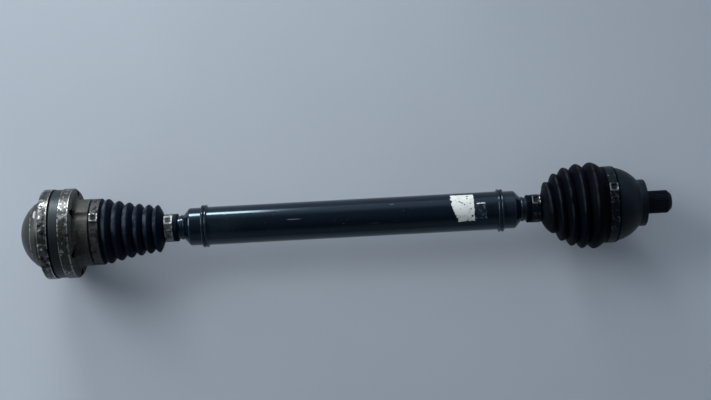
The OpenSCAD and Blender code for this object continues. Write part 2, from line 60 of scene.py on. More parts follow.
Point = tuple[float, float]
Colour = tuple[float, float, float]
Warp = Callable[[float, float, float], Point]
Field = Callable[[float, float, float], float]
Socket = bpy.types.NodeSocket

# Tint of the shine on black finishes, which is cold in the photograph
COLD: Colour = (0.55, 0.82, 1.0)

# Sizes that several pieces share
TUBE_RADIUS = 23.0
STUB_NECK = 14.0
COVER_NECK = 36.2
BELL_SEAT = 43.0
BELL_MOUTH = 659.0
SEAT_GAP = 0.06
SLEEVE_RADIUS = 16.1
INBOARD_SLEEVE: Point = (141.8, 158.8)
OUTBOARD_SLEEVE: Point = (577.5, 596.0)
INBOARD_CUFF = 39.0
OUTBOARD_CUFF = 45.3


class Body(str, Enum):
    """The moving bodies of the part."""

    SHAFT = "shaft"
    INBOARD_BOOT = "inboard_boot_body"
    INBOARD = "inboard_housing"
    OUTBOARD = "outboard_housing"


class Joining(Enum):
    """What a ring of copies does to the mesh that it goes round."""

    CUT = "cut"
    ADD = "add"


def jitter(x: float, r: float, phi: float, size: float, seed: float = 0.0) -> float:
    """Gives smooth noise at a point of a turned surface.

    Args:
        x: Place along the shaft.
        r: Radius.
        phi: Angle from the top towards +Y, in radians.
        size: Width of one lump.
        seed: Picks another pattern.

    Returns:
        A value from about -1 to 1.
    """
    place = Vector((x, r * math.sin(phi), r * math.cos(phi))) / size
    return noise.noise(place + Vector((seed * 17.3, seed * 5.1, seed * 9.7)))


def ease(value: float, low: float, high: float) -> float:
    """Rises smoothly from 0 at low to 1 at high."""
    t = min(max((value - low) / (high - low), 0.0), 1.0)
    return t * t * (3.0 - 2.0 * t)


def rounded(corners: Sequence[tuple[float, float, float]], steps: int = 4) -> list[Point]:
    """Rounds the corners of a closed outline.

    Args:
        corners: Place along the shaft, radius and corner radius of each corner.
        steps: Points on each arc, less one.

    Returns:
        The points of the outline.
    """
    points: list[Point] = []
    count = len(corners)
    for i, (x, r, fillet) in enumerate(corners):
        here = Vector((x, r))
        back = Vector(corners[i - 1][:2]) - here
        ahead = Vector(corners[(i + 1) % count][:2]) - here
        if fillet <= 0.0 or back.length < 1e-6 or ahead.length < 1e-6:
            points.append((x, r))
            continue
        half = back.angle(ahead) / 2.0
        if half > math.radians(88.0):
            points.append((x, r))
            continue
        reach = min(fillet / math.tan(half), back.length * 0.49, ahead.length * 0.49)
        radius = reach * math.tan(half)
        middle = (back.normalized() + ahead.normalized()).normalized()
        centre = here + middle * (radius / math.sin(half))
        first = here + back.normalized() * reach - centre
        final = here + ahead.normalized() * reach - centre
        turn = math.copysign(math.pi - 2.0 * half, first.x * final.y - first.y * final.x)
        for k in range(steps + 1):
            a = turn * k / steps
            points.append((
                centre.x + first.x * math.cos(a) - first.y * math.sin(a),
                centre.y + first.x * math.sin(a) + first.y * math.cos(a),
            ))
    return points


def split_long(points: Sequence[Point], longest: float, closed: bool = True) -> list[Point]:
    """Divides the long sides of an outline, so that its surface can carry dents.

    Args:
        points: The outline.
        longest: The longest side that is left.
        closed: Whether a side runs from the last point to the first.

    Returns:
        The points of the finer outline.
    """
    result: list[Point] = []
    ahead = [*points[1:], points[0]] if closed else points[1:]
    for (x0, r0), (x1, r1) in zip(points, ahead):
        parts = max(1, math.ceil(math.hypot(x1 - x0, r1 - r0) / longest))
        result.extend((x0 + (x1 - x0) * k / parts, r0 + (r1 - r0) * k / parts) for k in range(parts))
    return result if closed else [*result, points[-1]]


def smooth(mesh: bpy.types.Mesh, angle: float = 40.0) -> None:
    """Shades a mesh smooth but for edges sharper than an angle in degrees, with its faces outward."""
    work = bmesh.new()
    work.from_mesh(mesh)
    bmesh.ops.recalc_face_normals(work, faces=work.faces)
    work.to_mesh(mesh)
    work.free()
    mesh.polygons.foreach_set("use_smooth", [True] * len(mesh.polygons))
    mesh.set_sharp_from_angle(angle=math.radians(angle))


def new_object(name: str, mesh: bpy.types.Mesh) -> bpy.types.Object:
    """Puts a mesh into the scene at the origin."""
    piece = bpy.data.objects.new(name, mesh)
    bpy.context.scene.collection.objects.link(piece)
    return piece


def paint_field(mesh: bpy.types.Mesh, name: str, values: Sequence[float]) -> None:
    """Stores one number for each vertex, which a material can read."""
    layer = mesh.attributes.new(name=name, type="FLOAT", domain="POINT")
    layer.data.foreach_set("value", list(values))


def close_mesh(
    name: str, work: bmesh.types.BMesh, fields: dict[str, Sequence[float]] | None = None
) -> bpy.types.Object:
    """Ends the work on a mesh and puts it into the scene.

    Args:
        name: Name of the piece.
        work: The mesh that was being made.
        fields: Numbers to store at each vertex, by name.

    Returns:
        The piece, at the origin.
    """
    mesh = bpy.data.meshes.new(name)
    work.to_mesh(mesh)
    work.free()
    for key, values in (fields or {}).items():
        paint_field(mesh, key, values)
    smooth(mesh)
    return new_object(name, mesh)


def lathe(
    name: str,
    outline: Sequence[Point],
    segments: int = 160,
    warp: Warp | None = None,
    fields: dict[str, Field] | None = None,
) -> bpy.types.Object:
    """Turns a closed outline about the shaft axis.

    Args:
        name: Name of the piece.
        outline: Place and radius of each point; a radius of 0 closes the end.
        segments: Points round the axis.
        warp: Moves a point, given its place, radius and angle.
        fields: Numbers to store at each vertex, by name.

    Returns:
        The closed piece.
    """
    work = bmesh.new()
    rings: list[list[bmesh.types.BMVert]] = []
    facts: list[tuple[float, float, float]] = []
    for x, r in outline:
        ring = []
        for j in range(1 if r < 1e-6 else segments):
            phi = 2.0 * math.pi * j / segments
            px, pr = warp(x, r, phi) if warp and r >= 1e-6 else (x, r)
            ring.append(work.verts.new((px * MM, pr * math.sin(phi) * MM, pr * math.cos(phi) * MM)))
            facts.append((x, r, phi))
        rings.append(ring)
    for a, b in zip(rings, rings[1:] + [rings[0]]):
        for j in range(segments):
            k = (j + 1) % segments
            corners = [a[j % len(a)], a[k % len(a)], b[k % len(b)], b[j % len(b)]]
            unique = list(dict.fromkeys(corners))
            if len(unique) > 2:
                work.faces.new(unique)
    stored = {key: [value(*fact) for fact in facts] for key, value in (fields or {}).items()}
    return close_mesh(name, work, stored)


class Graph:
    """The nodes of one material, which end in its Principled shader."""

    def __init__(self, name: str) -> None:
        """Starts a material of that name."""
        self.material = bpy.data.materials.new(name)
        self.material.use_nodes = True
        self.nodes = self.material.node_tree.nodes
        self.links = self.material.node_tree.links
        self.shader = self.nodes["Principled BSDF"]
        self.coords: Socket = self.nodes.new("ShaderNodeTexCoord").outputs["Object"]

    def feed(self, socket: Socket, value: Socket | float | Sequence[float]) -> None:
        """Links a socket, or sets it to a constant."""
        if isinstance(value, bpy.types.NodeSocket):
            self.links.new(value, socket)
        elif isinstance(value, (int, float)):
            socket.default_value = value
        else:
            socket.default_value = (*value, 1.0) if socket.type == "RGBA" else value

    def finish(self, **sockets: Socket | float | Sequence[float]) -> bpy.types.Material:
        """Feeds the shader's sockets, named with _ for a space, and returns the material."""
        for key, value in sockets.items():
            self.feed(self.shader.inputs[key.replace("_", " ")], value)
        return self.material

    def noise(
        self,
        scale: float,
        stretch: Sequence[float] = (1.0, 1.0, 1.0),
        detail: float = 3.0,
        shift: float = 0.0,
    ) -> Socket:
        """Adds noise on the piece's own coordinates.

        Args:
            scale: Lumps to the metre.
            stretch: Scale along each axis.
            detail: Octaves of finer noise.
            shift: Picks another pattern.

        Returns:
            The socket of its value, about 0.5 on average.
        """
        place = self.nodes.new("ShaderNodeMapping")
        self.feed(place.inputs["Scale"], stretch)
        self.feed(place.inputs["Location"], (shift, shift * 0.7, shift * 1.3))
        self.links.new(self.coords, place.inputs["Vector"])
        node = self.nodes.new("ShaderNodeTexNoise")
        self.links.new(place.outputs["Vector"], node.inputs["Vector"])
        self.feed(node.inputs["Scale"], scale)
        self.feed(node.inputs["Detail"], detail)
        return node.outputs[0]

    def field(self, name: str) -> Socket:
        """Reads a number stored at the vertices."""
        node = self.nodes.new("ShaderNodeAttribute")
        node.attribute_name = name
        return node.outputs["Fac"]

    def step(self, value: Socket, low: float, high: float, bottom: float = 0.0, top: float = 1.0) -> Socket:
        """Rises smoothly from bottom at low to top at high."""
        node = self.nodes.new("ShaderNodeMapRange")
        node.interpolation_type = "SMOOTHSTEP"
        self.feed(node.inputs["Value"], value)
        for key, number in zip(("From Min", "From Max", "To Min", "To Max"), (low, high, bottom, top)):
            self.feed(node.inputs[key], number)
        return node.outputs["Result"]

    def math(self, operation: str, a: Socket | float, b: Socket | float) -> Socket:
        """Combines two values."""
        node = self.nodes.new("ShaderNodeMath")
        node.operation = operation
        self.feed(node.inputs[0], a)
        self.feed(node.inputs[1], b)
        return node.outputs["Value"]

    def mix(self, share: Socket, a: Socket | Colour, b: Socket | Colour) -> Socket:
        """Mixes two colours."""
        node = self.nodes.new("ShaderNodeMix")
        node.data_type = "RGBA"
        self.feed(node.inputs["Factor"], share)
        self.feed(node.inputs[6], a)
        self.feed(node.inputs[7], b)
        return node.outputs[2]

    def bump(self, height: Socket, depth: float, strength: float = 1.0) -> Socket:
        """Turns heights into a bent normal, with the depth in millimetres."""
        node = self.nodes.new("ShaderNodeBump")
        self.feed(node.inputs["Strength"], strength)
        self.feed(node.inputs["Distance"], depth * MM)
        self.feed(node.inputs["Height"], height)
        return node.outputs["Normal"]


@dataclass(frozen=True)
class Finish:
    """A surface finish. Each kind makes its own material."""

    name: str
    slot: str
    made: ClassVar[dict[str, bpy.types.Material]] = {}

    def material(self) -> bpy.types.Material:
        """Returns the material, made once."""
        if self.name not in self.made:
            self.made[self.name] = self.build()
        return self.made[self.name]

    def build(self) -> bpy.types.Material:
        """Makes the material."""
        raise NotImplementedError


@dataclass(frozen=True)
class GlossPaint(Finish):
    """Black paint with a thin haze of dust, scuffs along the shaft and a few specks."""

    colour: Colour = (0.0026, 0.0048, 0.0100)
    dust: Colour = (0.021, 0.031, 0.044)
    bare: Colour = (0.40, 0.42, 0.45)
    gloss: float = 0.13
    haze: float = 0.45
    scuffs: float = 0.5

    def build(self) -> bpy.types.Material:
        """Makes the material."""
        g = Graph(self.name)
        patch = g.step(g.noise(15.0, detail=6.0), 0.48, 0.78, 0.0, self.haze)
        lines = g.step(g.noise(46.0, (0.16, 6.0, 6.0), 3.0, 3.1), 0.70, 0.725)
        worn = g.step(g.noise(21.0, detail=2.0, shift=5.0), 0.52, 0.62)
        specks = g.step(g.noise(620.0, detail=1.0, shift=2.0), 0.775, 0.80)
        marks = g.math("MAXIMUM", g.math("MULTIPLY", lines, worn), specks)
        painted = g.mix(patch, self.colour, self.dust)
        rough = g.math("ADD", g.math("MULTIPLY", patch, 0.3), self.gloss)
        return g.finish(
            Base_Color=g.mix(g.math("MULTIPLY", marks, self.scuffs), painted, self.bare),
            Roughness=g.math("MAXIMUM", rough, g.math("MULTIPLY", marks, 0.5)),
            Normal=g.bump(g.noise(260.0, detail=2.0), 0.012),
            Specular_Tint=COLD,
        )


@dataclass(frozen=True)
class ForgedPaint(Finish):
    """Satin black over a forged skin, patchy with dust, and a painted highlight with dust in one corner."""

    colour: Colour = (0.0036, 0.0056, 0.0100)
    dust: Colour = (0.020, 0.025, 0.031)
    bare: Colour = (0.12, 0.125, 0.135)
    rough: float = 0.44
    pits: float = 0.08

    def build(self) -> bpy.types.Material:
        """Makes the material."""
        g = Graph(self.name)
        haze = g.step(g.noise(38.0, detail=6.0), 0.46, 0.8, 0.0, 0.5)
        # The field dust paints a highlight line, with dust, into the bell's corner.
        patch = g.math("MAXIMUM", haze, g.field("dust"))
        skin = g.noise(330.0, detail=5.0)
        rubbed = g.step(g.noise(210.0, (1.0, 0.3, 0.3), 6.0, 4.0), 0.70, 0.75, 0.0, 0.4)
        return g.finish(
            Base_Color=g.mix(rubbed, g.mix(patch, self.colour, self.dust), self.bare),
            Roughness=g.math("ADD", g.math("MULTIPLY", skin, 0.2), self.rough - 0.1),
            Normal=g.bump(skin, self.pits),
            Specular_IOR_Level=0.2,
            Specular_Tint=COLD,
        )


@dataclass(frozen=True)
class PressedSheet(Finish):
    """Zinc-plated sheet, peened on its bands, satin on its dome and dull with road dirt elsewhere."""

    satin: Colour = (0.074, 0.077, 0.070)
    stain: Colour = (0.050, 0.053, 0.049)
    soil: Colour = (0.027, 0.028, 0.025)
    powder: Colour = (0.066, 0.068, 0.060)
    bare: Colour = (0.10, 0.106, 0.108)
    pit: Colour = (0.007, 0.008, 0.009)
    fleck: Colour = (0.84, 0.86, 0.86)

    def build(self) -> bpy.types.Material:
        """Makes the material."""
        g = Graph(self.name)
        cloud = g.noise(48.0, detail=6.0)
        grain = g.noise(300.0, detail=4.0, shift=3.0)
        flakes = g.noise(210.0, detail=9.0, shift=7.0)
        peen, grime, edge = g.field("peen"), g.field("grime"), g.field("edge")
        worn = g.step(cloud, 0.40, 0.58)
        plain = g.mix(worn, self.satin, self.stain)
        uneven = g.math("ADD", cloud, g.math("MULTIPLY", grain, 0.3))
        dirty = g.math("MULTIPLY", grime, g.step(uneven, 0.36, 0.66, 0.55, 1.0))
        dusty = g.mix(g.step(grain, 0.48, 0.66, 0.0, 0.8), self.soil, self.powder)
        plain = g.mix(dirty, plain, dusty)
        band = g.mix(worn, self.bare, self.stain)
        holes = g.math("MULTIPLY", g.step(flakes, 0.45, 0.38), g.step(worn, 0.0, 1.0, 0.75, 1.0))
        band = g.mix(holes, band, self.pit)
        chips = g.math("MULTIPLY", g.step(flakes, 0.57, 0.61), g.step(worn, 0.9, 0.2, 0.15, 1.0))
        # The field edge brightens rubbed edges and ridges, and also one painted glint on the dome.
        rim = g.math("MULTIPLY", edge, g.step(flakes, 0.42, 0.5))
        bright = g.math("MAXIMUM", g.math("MULTIPLY", chips, peen), rim)
        base = g.mix(bright, g.mix(peen, plain, band), self.fleck)
        rough = g.math("ADD", g.step(dirty, 0.0, 1.0, 0.32, 0.62), g.math("MULTIPLY", bright, -0.12))
        height = g.math("MULTIPLY", g.math("ADD", grain, flakes), g.step(peen, 0.0, 1.0, 0.1, 1.0))
        return g.finish(
            Base_Color=base,
            Metallic=g.step(dirty, 0.0, 1.0, 0.92, 0.2),
            Roughness=rough,
            Normal=g.bump(height, 0.35),
        )


@dataclass(frozen=True)
class MachinedSteel(Finish):
    """Turned or ground steel with fine lines round its axis."""

    colour: Colour = (0.031, 0.038, 0.043)
    stain: Colour = (0.020, 0.025, 0.029)
    rough: float = 0.48
    lines: float = 0.012

    def build(self) -> bpy.types.Material:
        """Makes the material."""
        g = Graph(self.name)
        turned = g.noise(260.0, (12.0, 0.12, 0.12), 3.0)
        patch = g.step(g.noise(34.0, detail=5.0, shift=6.0), 0.42, 0.78, 0.0, 0.6)
        ground = g.step(turned, 0.3, 0.7, self.rough - 0.05, self.rough)
        return g.finish(
            Base_Color=g.mix(patch, self.colour, self.stain),
            Metallic=0.9,
            Roughness=g.math("ADD", g.math("MULTIPLY", patch, 0.12), ground),
            Normal=g.bump(turned, self.lines),
        )


@dataclass(frozen=True)
class Rubber(Finish):
    """Moulded rubber with dust where it settles, and on the boots painted light on flanks and crests."""

    colour: Colour = (0.0012, 0.0021, 0.0044)
    dust: Colour = (0.047, 0.055, 0.060)
    rough: float = 0.5
    shine: float = 0.03

    def build(self) -> bpy.types.Material:
        """Makes the material."""
        g = Graph(self.name)
        film = g.noise(85.0, detail=7.0)
        grain = g.noise(700.0, detail=3.0, shift=2.0)
        # On the boots the field dust also holds painted light: sheen on lit flanks and highlights on
        # crests.
        lies = g.math("MULTIPLY", g.field("dust"), g.step(film, 0.30, 0.66))
        smear = g.step(g.noise(48.0, (1.0, 0.5, 0.5), 6.0, 9.0), 0.52, 0.8, 0.0, 0.05)
        soil = g.math("MAXIMUM", lies, smear)
        skin = g.step(film, 0.3, 0.7, self.rough - 0.06, self.rough)
        return g.finish(
            Base_Color=g.mix(soil, self.colour, self.dust),
            Roughness=g.math("ADD", g.math("MULTIPLY", soil, 0.3), skin),
            Normal=g.bump(grain, 0.04),
            Specular_IOR_Level=self.shine,
            Specular_Tint=COLD,
        )


@dataclass(frozen=True)
class ClampSteel(Finish):
    """Stainless band, grey with dirt, rubbed bright about its ear, with painted shade in its dimple and
    slots.

    The field metal says how metallic the dirty band still looks.
    """

    clean: Colour = (0.46, 0.47, 0.47)
    dull: Colour = (0.056, 0.059, 0.058)
    dirt: Colour = (0.008, 0.008, 0.008)
    metal: float = 0.375

    def build(self) -> bpy.types.Material:
        """Makes the material."""
        g = Graph(self.name)
        film = g.noise(170.0, detail=6.0)
        patchy = g.step(g.noise(420.0, detail=4.0, shift=5.0), 0.40, 0.56, 0.12, 1.0)
        rub = g.math("MULTIPLY", g.field("rub"), patchy)
        soil = g.math("MULTIPLY", g.step(film, 0.46, 0.66), g.step(rub, 0.0, 1.0, 0.9, 0.2))
        lines = g.noise(300.0, (0.3, 4.0, 4.0), 4.0, 2.0)
        steel = g.mix(rub, self.dull, self.clean)
        covered = g.math("MAXIMUM", soil, g.math("SUBTRACT", 1.0, rub))
        # The field pit darkens the band with painted shade in the ear's dimple, about the slots and on the
        # hooks.
        return g.finish(
            Base_Color=g.mix(g.math("MAXIMUM", soil, g.field("pit")), steel, self.dirt),
            Metallic=g.step(covered, 0.0, 1.0, 0.95, self.metal),
            Roughness=g.math("ADD", g.math("MULTIPLY", soil, 0.25), g.step(rub, 0.0, 1.0, 0.52, 0.3)),
            Normal=g.bump(lines, 0.03),
            Specular_IOR_Level=0.15,
        )


@dataclass(frozen=True)
class ClampBlack(Finish):
    """Black coated band, rubbed through to bright steel round its ear and in thin scratches."""

    coat: Colour = (0.0020, 0.0031, 0.0058)
    bare: Colour = (0.23, 0.24, 0.255)

    def build(self) -> bpy.types.Material:
        """Makes the material."""
        g = Graph(self.name)
        warped = g.noise(150.0, detail=3.0, shift=4.0)
        off_line = g.math("ABSOLUTE", g.math("SUBTRACT", warped, 0.52), 0.0)
        thin = g.step(off_line, 0.014, 0.005)
        where = g.step(g.noise(55.0, detail=2.0, shift=8.0), 0.50, 0.56)
        edge = g.step(g.field("edge"), 0.0, 1.0, 0.45, 1.0)
        scratch = g.math("MULTIPLY", g.math("MULTIPLY", thin, where), edge)
        rubbed = g.math("MULTIPLY", g.step(g.field("rub"), 0.5, 0.95), g.step(warped, 0.40, 0.5))
        wear = g.math("MAXIMUM", scratch, rubbed)
        return g.finish(
            Base_Color=g.mix(wear, self.coat, self.bare),
            Metallic=g.math("MULTIPLY", wear, 0.95),
            Roughness=g.step(wear, 0.0, 1.0, 0.42, 0.3),
            Normal=g.bump(g.noise(400.0, detail=3.0), 0.03),
            Specular_IOR_Level=0.2,
            Specular_Tint=COLD,
        )


@dataclass(frozen=True)
class Paper(Finish):
    """White label paper, scuffed, with grey blotches of dirt and dark specks."""

    clean: Colour = (0.72, 0.76, 0.74)
    dirt: Colour = (0.46, 0.49, 0.48)
    hole: Colour = (0.006, 0.007, 0.009)

    def build(self) -> bpy.types.Material:
        """Makes the material."""
        g = Graph(self.name)
        fibre = g.noise(800.0, detail=5.0)
        blotch = g.math("ADD", g.noise(120.0, detail=6.0), g.math("MULTIPLY", fibre, 0.25))
        soil = g.step(blotch, 0.6, 0.9)
        specks = g.step(g.noise(230.0, detail=3.0, shift=4.0), 0.625, 0.645)
        base = g.mix(specks, g.mix(soil, self.clean, self.dirt), self.hole)
        return g.finish(Base_Color=base, Roughness=0.75, Normal=g.bump(fibre, 0.05))


@dataclass(frozen=True)
class Residue(Finish):
    """Glue that a label left behind, dull and dusty."""

    film: Colour = (0.005, 0.009, 0.018)
    fluff: Colour = (0.085, 0.11, 0.15)

    def build(self) -> bpy.types.Material:
        """Makes the material."""
        g = Graph(self.name)
        lint = g.noise(420.0, detail=4.0)
        base = g.mix(g.step(lint, 0.54, 0.68), self.film, self.fluff)
        return g.finish(
            Base_Color=base,
            Roughness=g.step(lint, 0.3, 0.7, 0.3, 0.6),
            Normal=g.bump(lint, 0.06),
            Specular_Tint=COLD,
        )


TUBE_PAINT = GlossPaint("tube_gloss_black", "tube_black")
STUB_PAINT = GlossPaint("stub_gloss_black", "forged_black", gloss=0.16, haze=0.3, scuffs=0.3)
FORGED = ForgedPaint("forged_satin_black", "forged_black")
SHEET = PressedSheet("zinc_sheet_worn", "zinc_sheet")
DULL_SHEET = PressedSheet(
    "zinc_sheet_dull", "zinc_sheet", bare=(0.052, 0.055, 0.055), fleck=(0.48, 0.50, 0.51)
)
RING_STEEL = MachinedSteel("ring_dark_steel", "ring_steel")
RACE_STEEL = MachinedSteel(
    "race_ground_steel", "race_steel", (0.36, 0.36, 0.37), (0.2, 0.19, 0.17), rough=0.26, lines=0.01
)
BALL_STEEL = MachinedSteel(
    "ball_polished_steel", "ball_steel", (0.62, 0.62, 0.64), (0.3, 0.28, 0.24), rough=0.12, lines=0.0
)
SPRING_STEEL = MachinedSteel(
    "spring_dark_steel", "spring_steel", (0.13, 0.13, 0.14), (0.04, 0.04, 0.04), rough=0.36, lines=0.01
)
BOOT_RUBBER = Rubber("boot_rubber_black", "boot_rubber")
DUSTY_RUBBER = Rubber(
    "boot_rubber_dusty", "boot_rubber", (0.0028, 0.0060, 0.0135), (0.072, 0.085, 0.095)
)
SEAL_RUBBER = Rubber(
    "seal_rubber_black", "seal_rubber", (0.0012, 0.0016, 0.0022), (0.008, 0.009, 0.010)
)
CLAMP_STEEL = ClampSteel("clamp_stainless_dirty", "clamp_steel")
CLAMP_BRIGHT = ClampSteel("clamp_stainless_grey", "clamp_steel", dull=(0.23, 0.245, 0.255), metal=0.2)
CLAMP_BLACK = ClampBlack("clamp_black_scratched", "clamp_black")
PAPER = Paper("label_paper_torn", "tube_black")
GLUE = Residue("label_glue_dusty", "tube_black")


class Tree:
    """A Geometry Nodes group, with named inputs and one mesh out."""

    def __init__(self, name: str) -> None:
        """Starts a group that takes a mesh and gives one."""
        self.group = bpy.data.node_groups.new(name, "GeometryNodeTree")
        self.group.interface.new_socket("Geometry", in_out="INPUT", socket_type="NodeSocketGeometry")
        self.group.interface.new_socket("Geometry", in_out="OUTPUT", socket_type="NodeSocketGeometry")
        self.into = self.group.nodes.new("NodeGroupInput")
        self.out = self.group.nodes.new("NodeGroupOutput")
        self.names: dict[str, str] = {}

    def input(self, name: str, kind: str) -> Socket:
        """Adds a named input, such as a Float, Int, Object or Material."""
        item = self.group.interface.new_socket(name, in_out="INPUT", socket_type=f"NodeSocket{kind}")
        self.names[name] = item.identifier
        return self.into.outputs[name]

    def add(
        self, kind: str, inputs: dict[str | int, object] | None = None, **settings: object
    ) -> bpy.types.Node:
        """Adds a node.

        Args:
            kind: The node's type, less its prefix where that is GeometryNode.
            inputs: Values or sockets for its inputs, by name or number.
            settings: Options of the node itself.

        Returns:
            The node.
        """
        full = kind if kind.startswith(("Shader", "Function")) else f"GeometryNode{kind}"
        node = self.group.nodes.new(full)
        for key, value in settings.items():
            setattr(node, key, value)
        for key, value in (inputs or {}).items():
            if isinstance(value, bpy.types.NodeSocket):
                self.group.links.new(value, node.inputs[key])
            else:
                node.inputs[key].default_value = value
        return node

    def math(self, operation: str, a: Socket | float, b: Socket | float = 0.0) -> Socket:
        """Combines two values."""
        return self.add("ShaderNodeMath", {0: a, 1: b}, operation=operation).outputs[0]

    def close(self, geometry: Socket) -> None:
        """Ends the group: copies become one mesh, which takes the Finish input as its material."""
        real = self.add("RealizeInstances", {"Geometry": geometry})
        finish = self.input("Finish", "Material")
        done = self.add("SetMaterial", {"Geometry": real.outputs[0], "Material": finish})
        self.group.links.new(done.outputs[0], self.out.inputs[0])

    def apply(self, piece: bpy.types.Object, **values: object) -> None:
        """Runs the group on a piece and keeps the result as its mesh.

        Args:
            piece: The piece whose mesh goes in and is replaced.
            values: The inputs by name, with _ for a space.
        """
        modifier = piece.modifiers.new(self.group.name, "NODES")
        modifier.node_group = self.group
        for key, value in values.items():
            modifier[self.names[key.replace("_", " ")]] = value
        graph = bpy.context.evaluated_depsgraph_get()
        graph.update()
        mesh = bpy.data.meshes.new_from_object(piece.evaluated_get(graph), depsgraph=graph)
        mesh.name = piece.name
        piece.modifiers.remove(modifier)
        piece.data = mesh
        smooth(mesh)


class RingTree(Tree):
    """Sets copies of an object round the shaft axis, and cuts them from the mesh or adds them to it."""

    def __init__(self, joining: Joining) -> None:
        """Builds the group for cutting or for adding."""
        super().__init__(f"ring_{joining.value}")
        count = self.input("Count", "Int")
        first = self.input("First Angle", "Float")
        step = self.input("Step Angle", "Float")
        copy = self.input("Copy", "Object")
        index = self.add("InputIndex").outputs[0]
        angle = self.math("ADD", first, self.math("MULTIPLY", index, step))
        turn = self.add("ShaderNodeCombineXYZ", {"X": self.math("MULTIPLY", angle, -1.0)})
        points = self.add("Points", {"Count": count})
        shape = self.add("ObjectInfo", {"Object": copy}, transform_space="ORIGINAL")
        copies = self.add(
            "InstanceOnPoints",
            {
                "Points": points.outputs[0],
                "Instance": shape.outputs["Geometry"],
                "Rotation": turn.outputs[0],
            },
        )
        solid = self.add("RealizeInstances", {"Geometry": copies.outputs[0]}).outputs[0]
        if joining is Joining.CUT:
            cut = self.add("MeshBoolean", operation="DIFFERENCE", solver="MANIFOLD")
            self.group.links.new(self.into.outputs[0], cut.inputs["Mesh 1"])
            self.group.links.new(solid, cut.inputs["Mesh 2"])
            self.close(cut.outputs[0])
        else:
            both = self.add("JoinGeometry")
            self.group.links.new(self.into.outputs[0], both.inputs[0])
            self.group.links.new(solid, both.inputs[0])
            self.close(both.outputs[0])


class BellowsTree(Tree):
    """Turns a closed row of edges about the shaft axis into a bellows, a little uneven as rubber is."""

    def __init__(self) -> None:
        """Builds the group."""
        super().__init__("bellows")
        rows = self.input("Rows", "Int")
        segments = self.input("Segments", "Int")
        ripple = self.input("Ripple", "Float")
        seed = self.input("Seed", "Float")
        across = self.math("ADD", segments, 1.0)
        grid = self.add(
            "MeshGrid", {"Size X": 1.0, "Size Y": 1.0, "Vertices X": rows, "Vertices Y": across}
        )
        index = self.add("InputIndex").outputs[0]
        row = self.math("FLOOR", self.math("DIVIDE", self.math("ADD", index, 0.5), across))
        column = self.math("SUBTRACT", index, self.math("MULTIPLY", row, across))
        place = self.add("InputPosition").outputs[0]
        sample = self.add(
            "SampleIndex",
            {"Geometry": self.into.outputs[0], "Value": place, "Index": row},
            data_type="FLOAT_VECTOR",
            domain="POINT",
        )
        parts = self.add("ShaderNodeSeparateXYZ", {"Vector": sample.outputs[0]})
        angle = self.math("MULTIPLY", column, self.math("DIVIDE", math.tau, segments))
        sine, cosine = self.math("SINE", angle), self.math("COSINE", angle)
        spot = self.add(
            "ShaderNodeCombineXYZ",
            {"X": self.math("ADD", parts.outputs[0], seed), "Y": sine, "Z": cosine},
        )
        lumps = self.add("ShaderNodeTexNoise", {"Vector": spot.outputs[0], "Scale": 2.2, "Detail": 2.0})
        swell = self.math("MULTIPLY", self.math("SUBTRACT", lumps.outputs[0], 0.5), ripple)
        radius = self.math("ADD", parts.outputs[2], swell)
        end = self.add(
            "ShaderNodeCombineXYZ",
            {
                "X": parts.outputs[0],
                "Y": self.math("MULTIPLY", radius, sine),
                "Z": self.math("MULTIPLY", radius, cosine),
            },
        )
        moved = self.add("SetPosition", {"Geometry": grid.outputs[0], "Position": end.outputs[0]})
        welded = self.add("MergeByDistance", {"Geometry": moved.outputs[0], "Distance": 1e-6})
        self.close(welded.outputs[0])


@dataclass
class Workshop:
    """Holds the node groups and hands finished pieces to the frame."""

    cut: RingTree = field(default_factory=lambda: RingTree(Joining.CUT))
    add: RingTree = field(default_factory=lambda: RingTree(Joining.ADD))
    bellows: BellowsTree = field(default_factory=BellowsTree)

    def ring(
        self,
        piece: bpy.types.Object,
        copy: bpy.types.Object,
        tree: RingTree,
        finish: Finish,
        count: int,
        first: float,
        step: float,
    ) -> None:
        """Cuts or adds copies of an object round the shaft, and deletes the object.

        Args:
            piece: The piece that is changed.
            copy: The object that is repeated, drawn at the top of the shaft.
            tree: The group that cuts or adds.
            finish: Finish of the result.
            count: Number of copies.
            first: Angle of the first copy from the top towards +Y, in degrees.
            step: Angle from copy to copy, in degrees.
        """
        tree.apply(
            piece,
            Count=count,
            First_Angle=math.radians(first),
            Step_Angle=math.radians(step),
            Copy=copy,
            Finish=finish.material(),
        )
        bpy.data.objects.remove(copy)

    def keep(self, piece: bpy.types.Object, finish: Finish, body: Body | None, *nodes: str) -> None:
        """Gives a piece its material and its body, and hides the CAD nodes that it stands for.

        Args:
            piece: The finished piece.
            finish: Its finish.
            body: The body that it rides on, or none, which leaves the piece on no body.
            nodes: The CAD nodes that it replaces.
        """
        piece.data.materials.clear()
        piece.data.materials.append(finish.material())
        if body is not None:
            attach(piece, body.value)
        if nodes:
            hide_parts(*nodes)


class Part(Protocol):
    """A sub-assembly, which makes its pieces in the workshop."""

    def build(self, shop: Workshop) -> None:
        """Makes the pieces and hands them over."""


def bar(name: str, outline: Sequence[Point], x0: float, x1: float) -> bpy.types.Object:
    """Makes a straight bar along the shaft from an outline of width and height above the axis.

    Args:
        name: Name of the object.
        outline: Corners across the shaft, as distance towards +Y and height.
        x0: Where it starts.
        x1: Where it ends.

    Returns:
        The closed bar.
    """
    work = bmesh.new()
    ends = [[work.verts.new((x * MM, y * MM, z * MM)) for y, z in outline] for x in (x0, x1)]
    count = len(outline)
    for i in range(count):
        j = (i + 1) % count
        work.faces.new((ends[0][i], ends[0][j], ends[1][j], ends[1][i]))
    work.faces.new(ends[0])
    work.faces.new(ends[1])
    return close_mesh(name, work)


def disc_outline(radius: float, height: float, count: int = 40) -> list[Point]:
    """Corners of a circle about a point above the axis."""
    steps = [math.tau * k / count for k in range(count)]
    return [(radius * math.sin(a), height + radius * math.cos(a)) for a in steps]


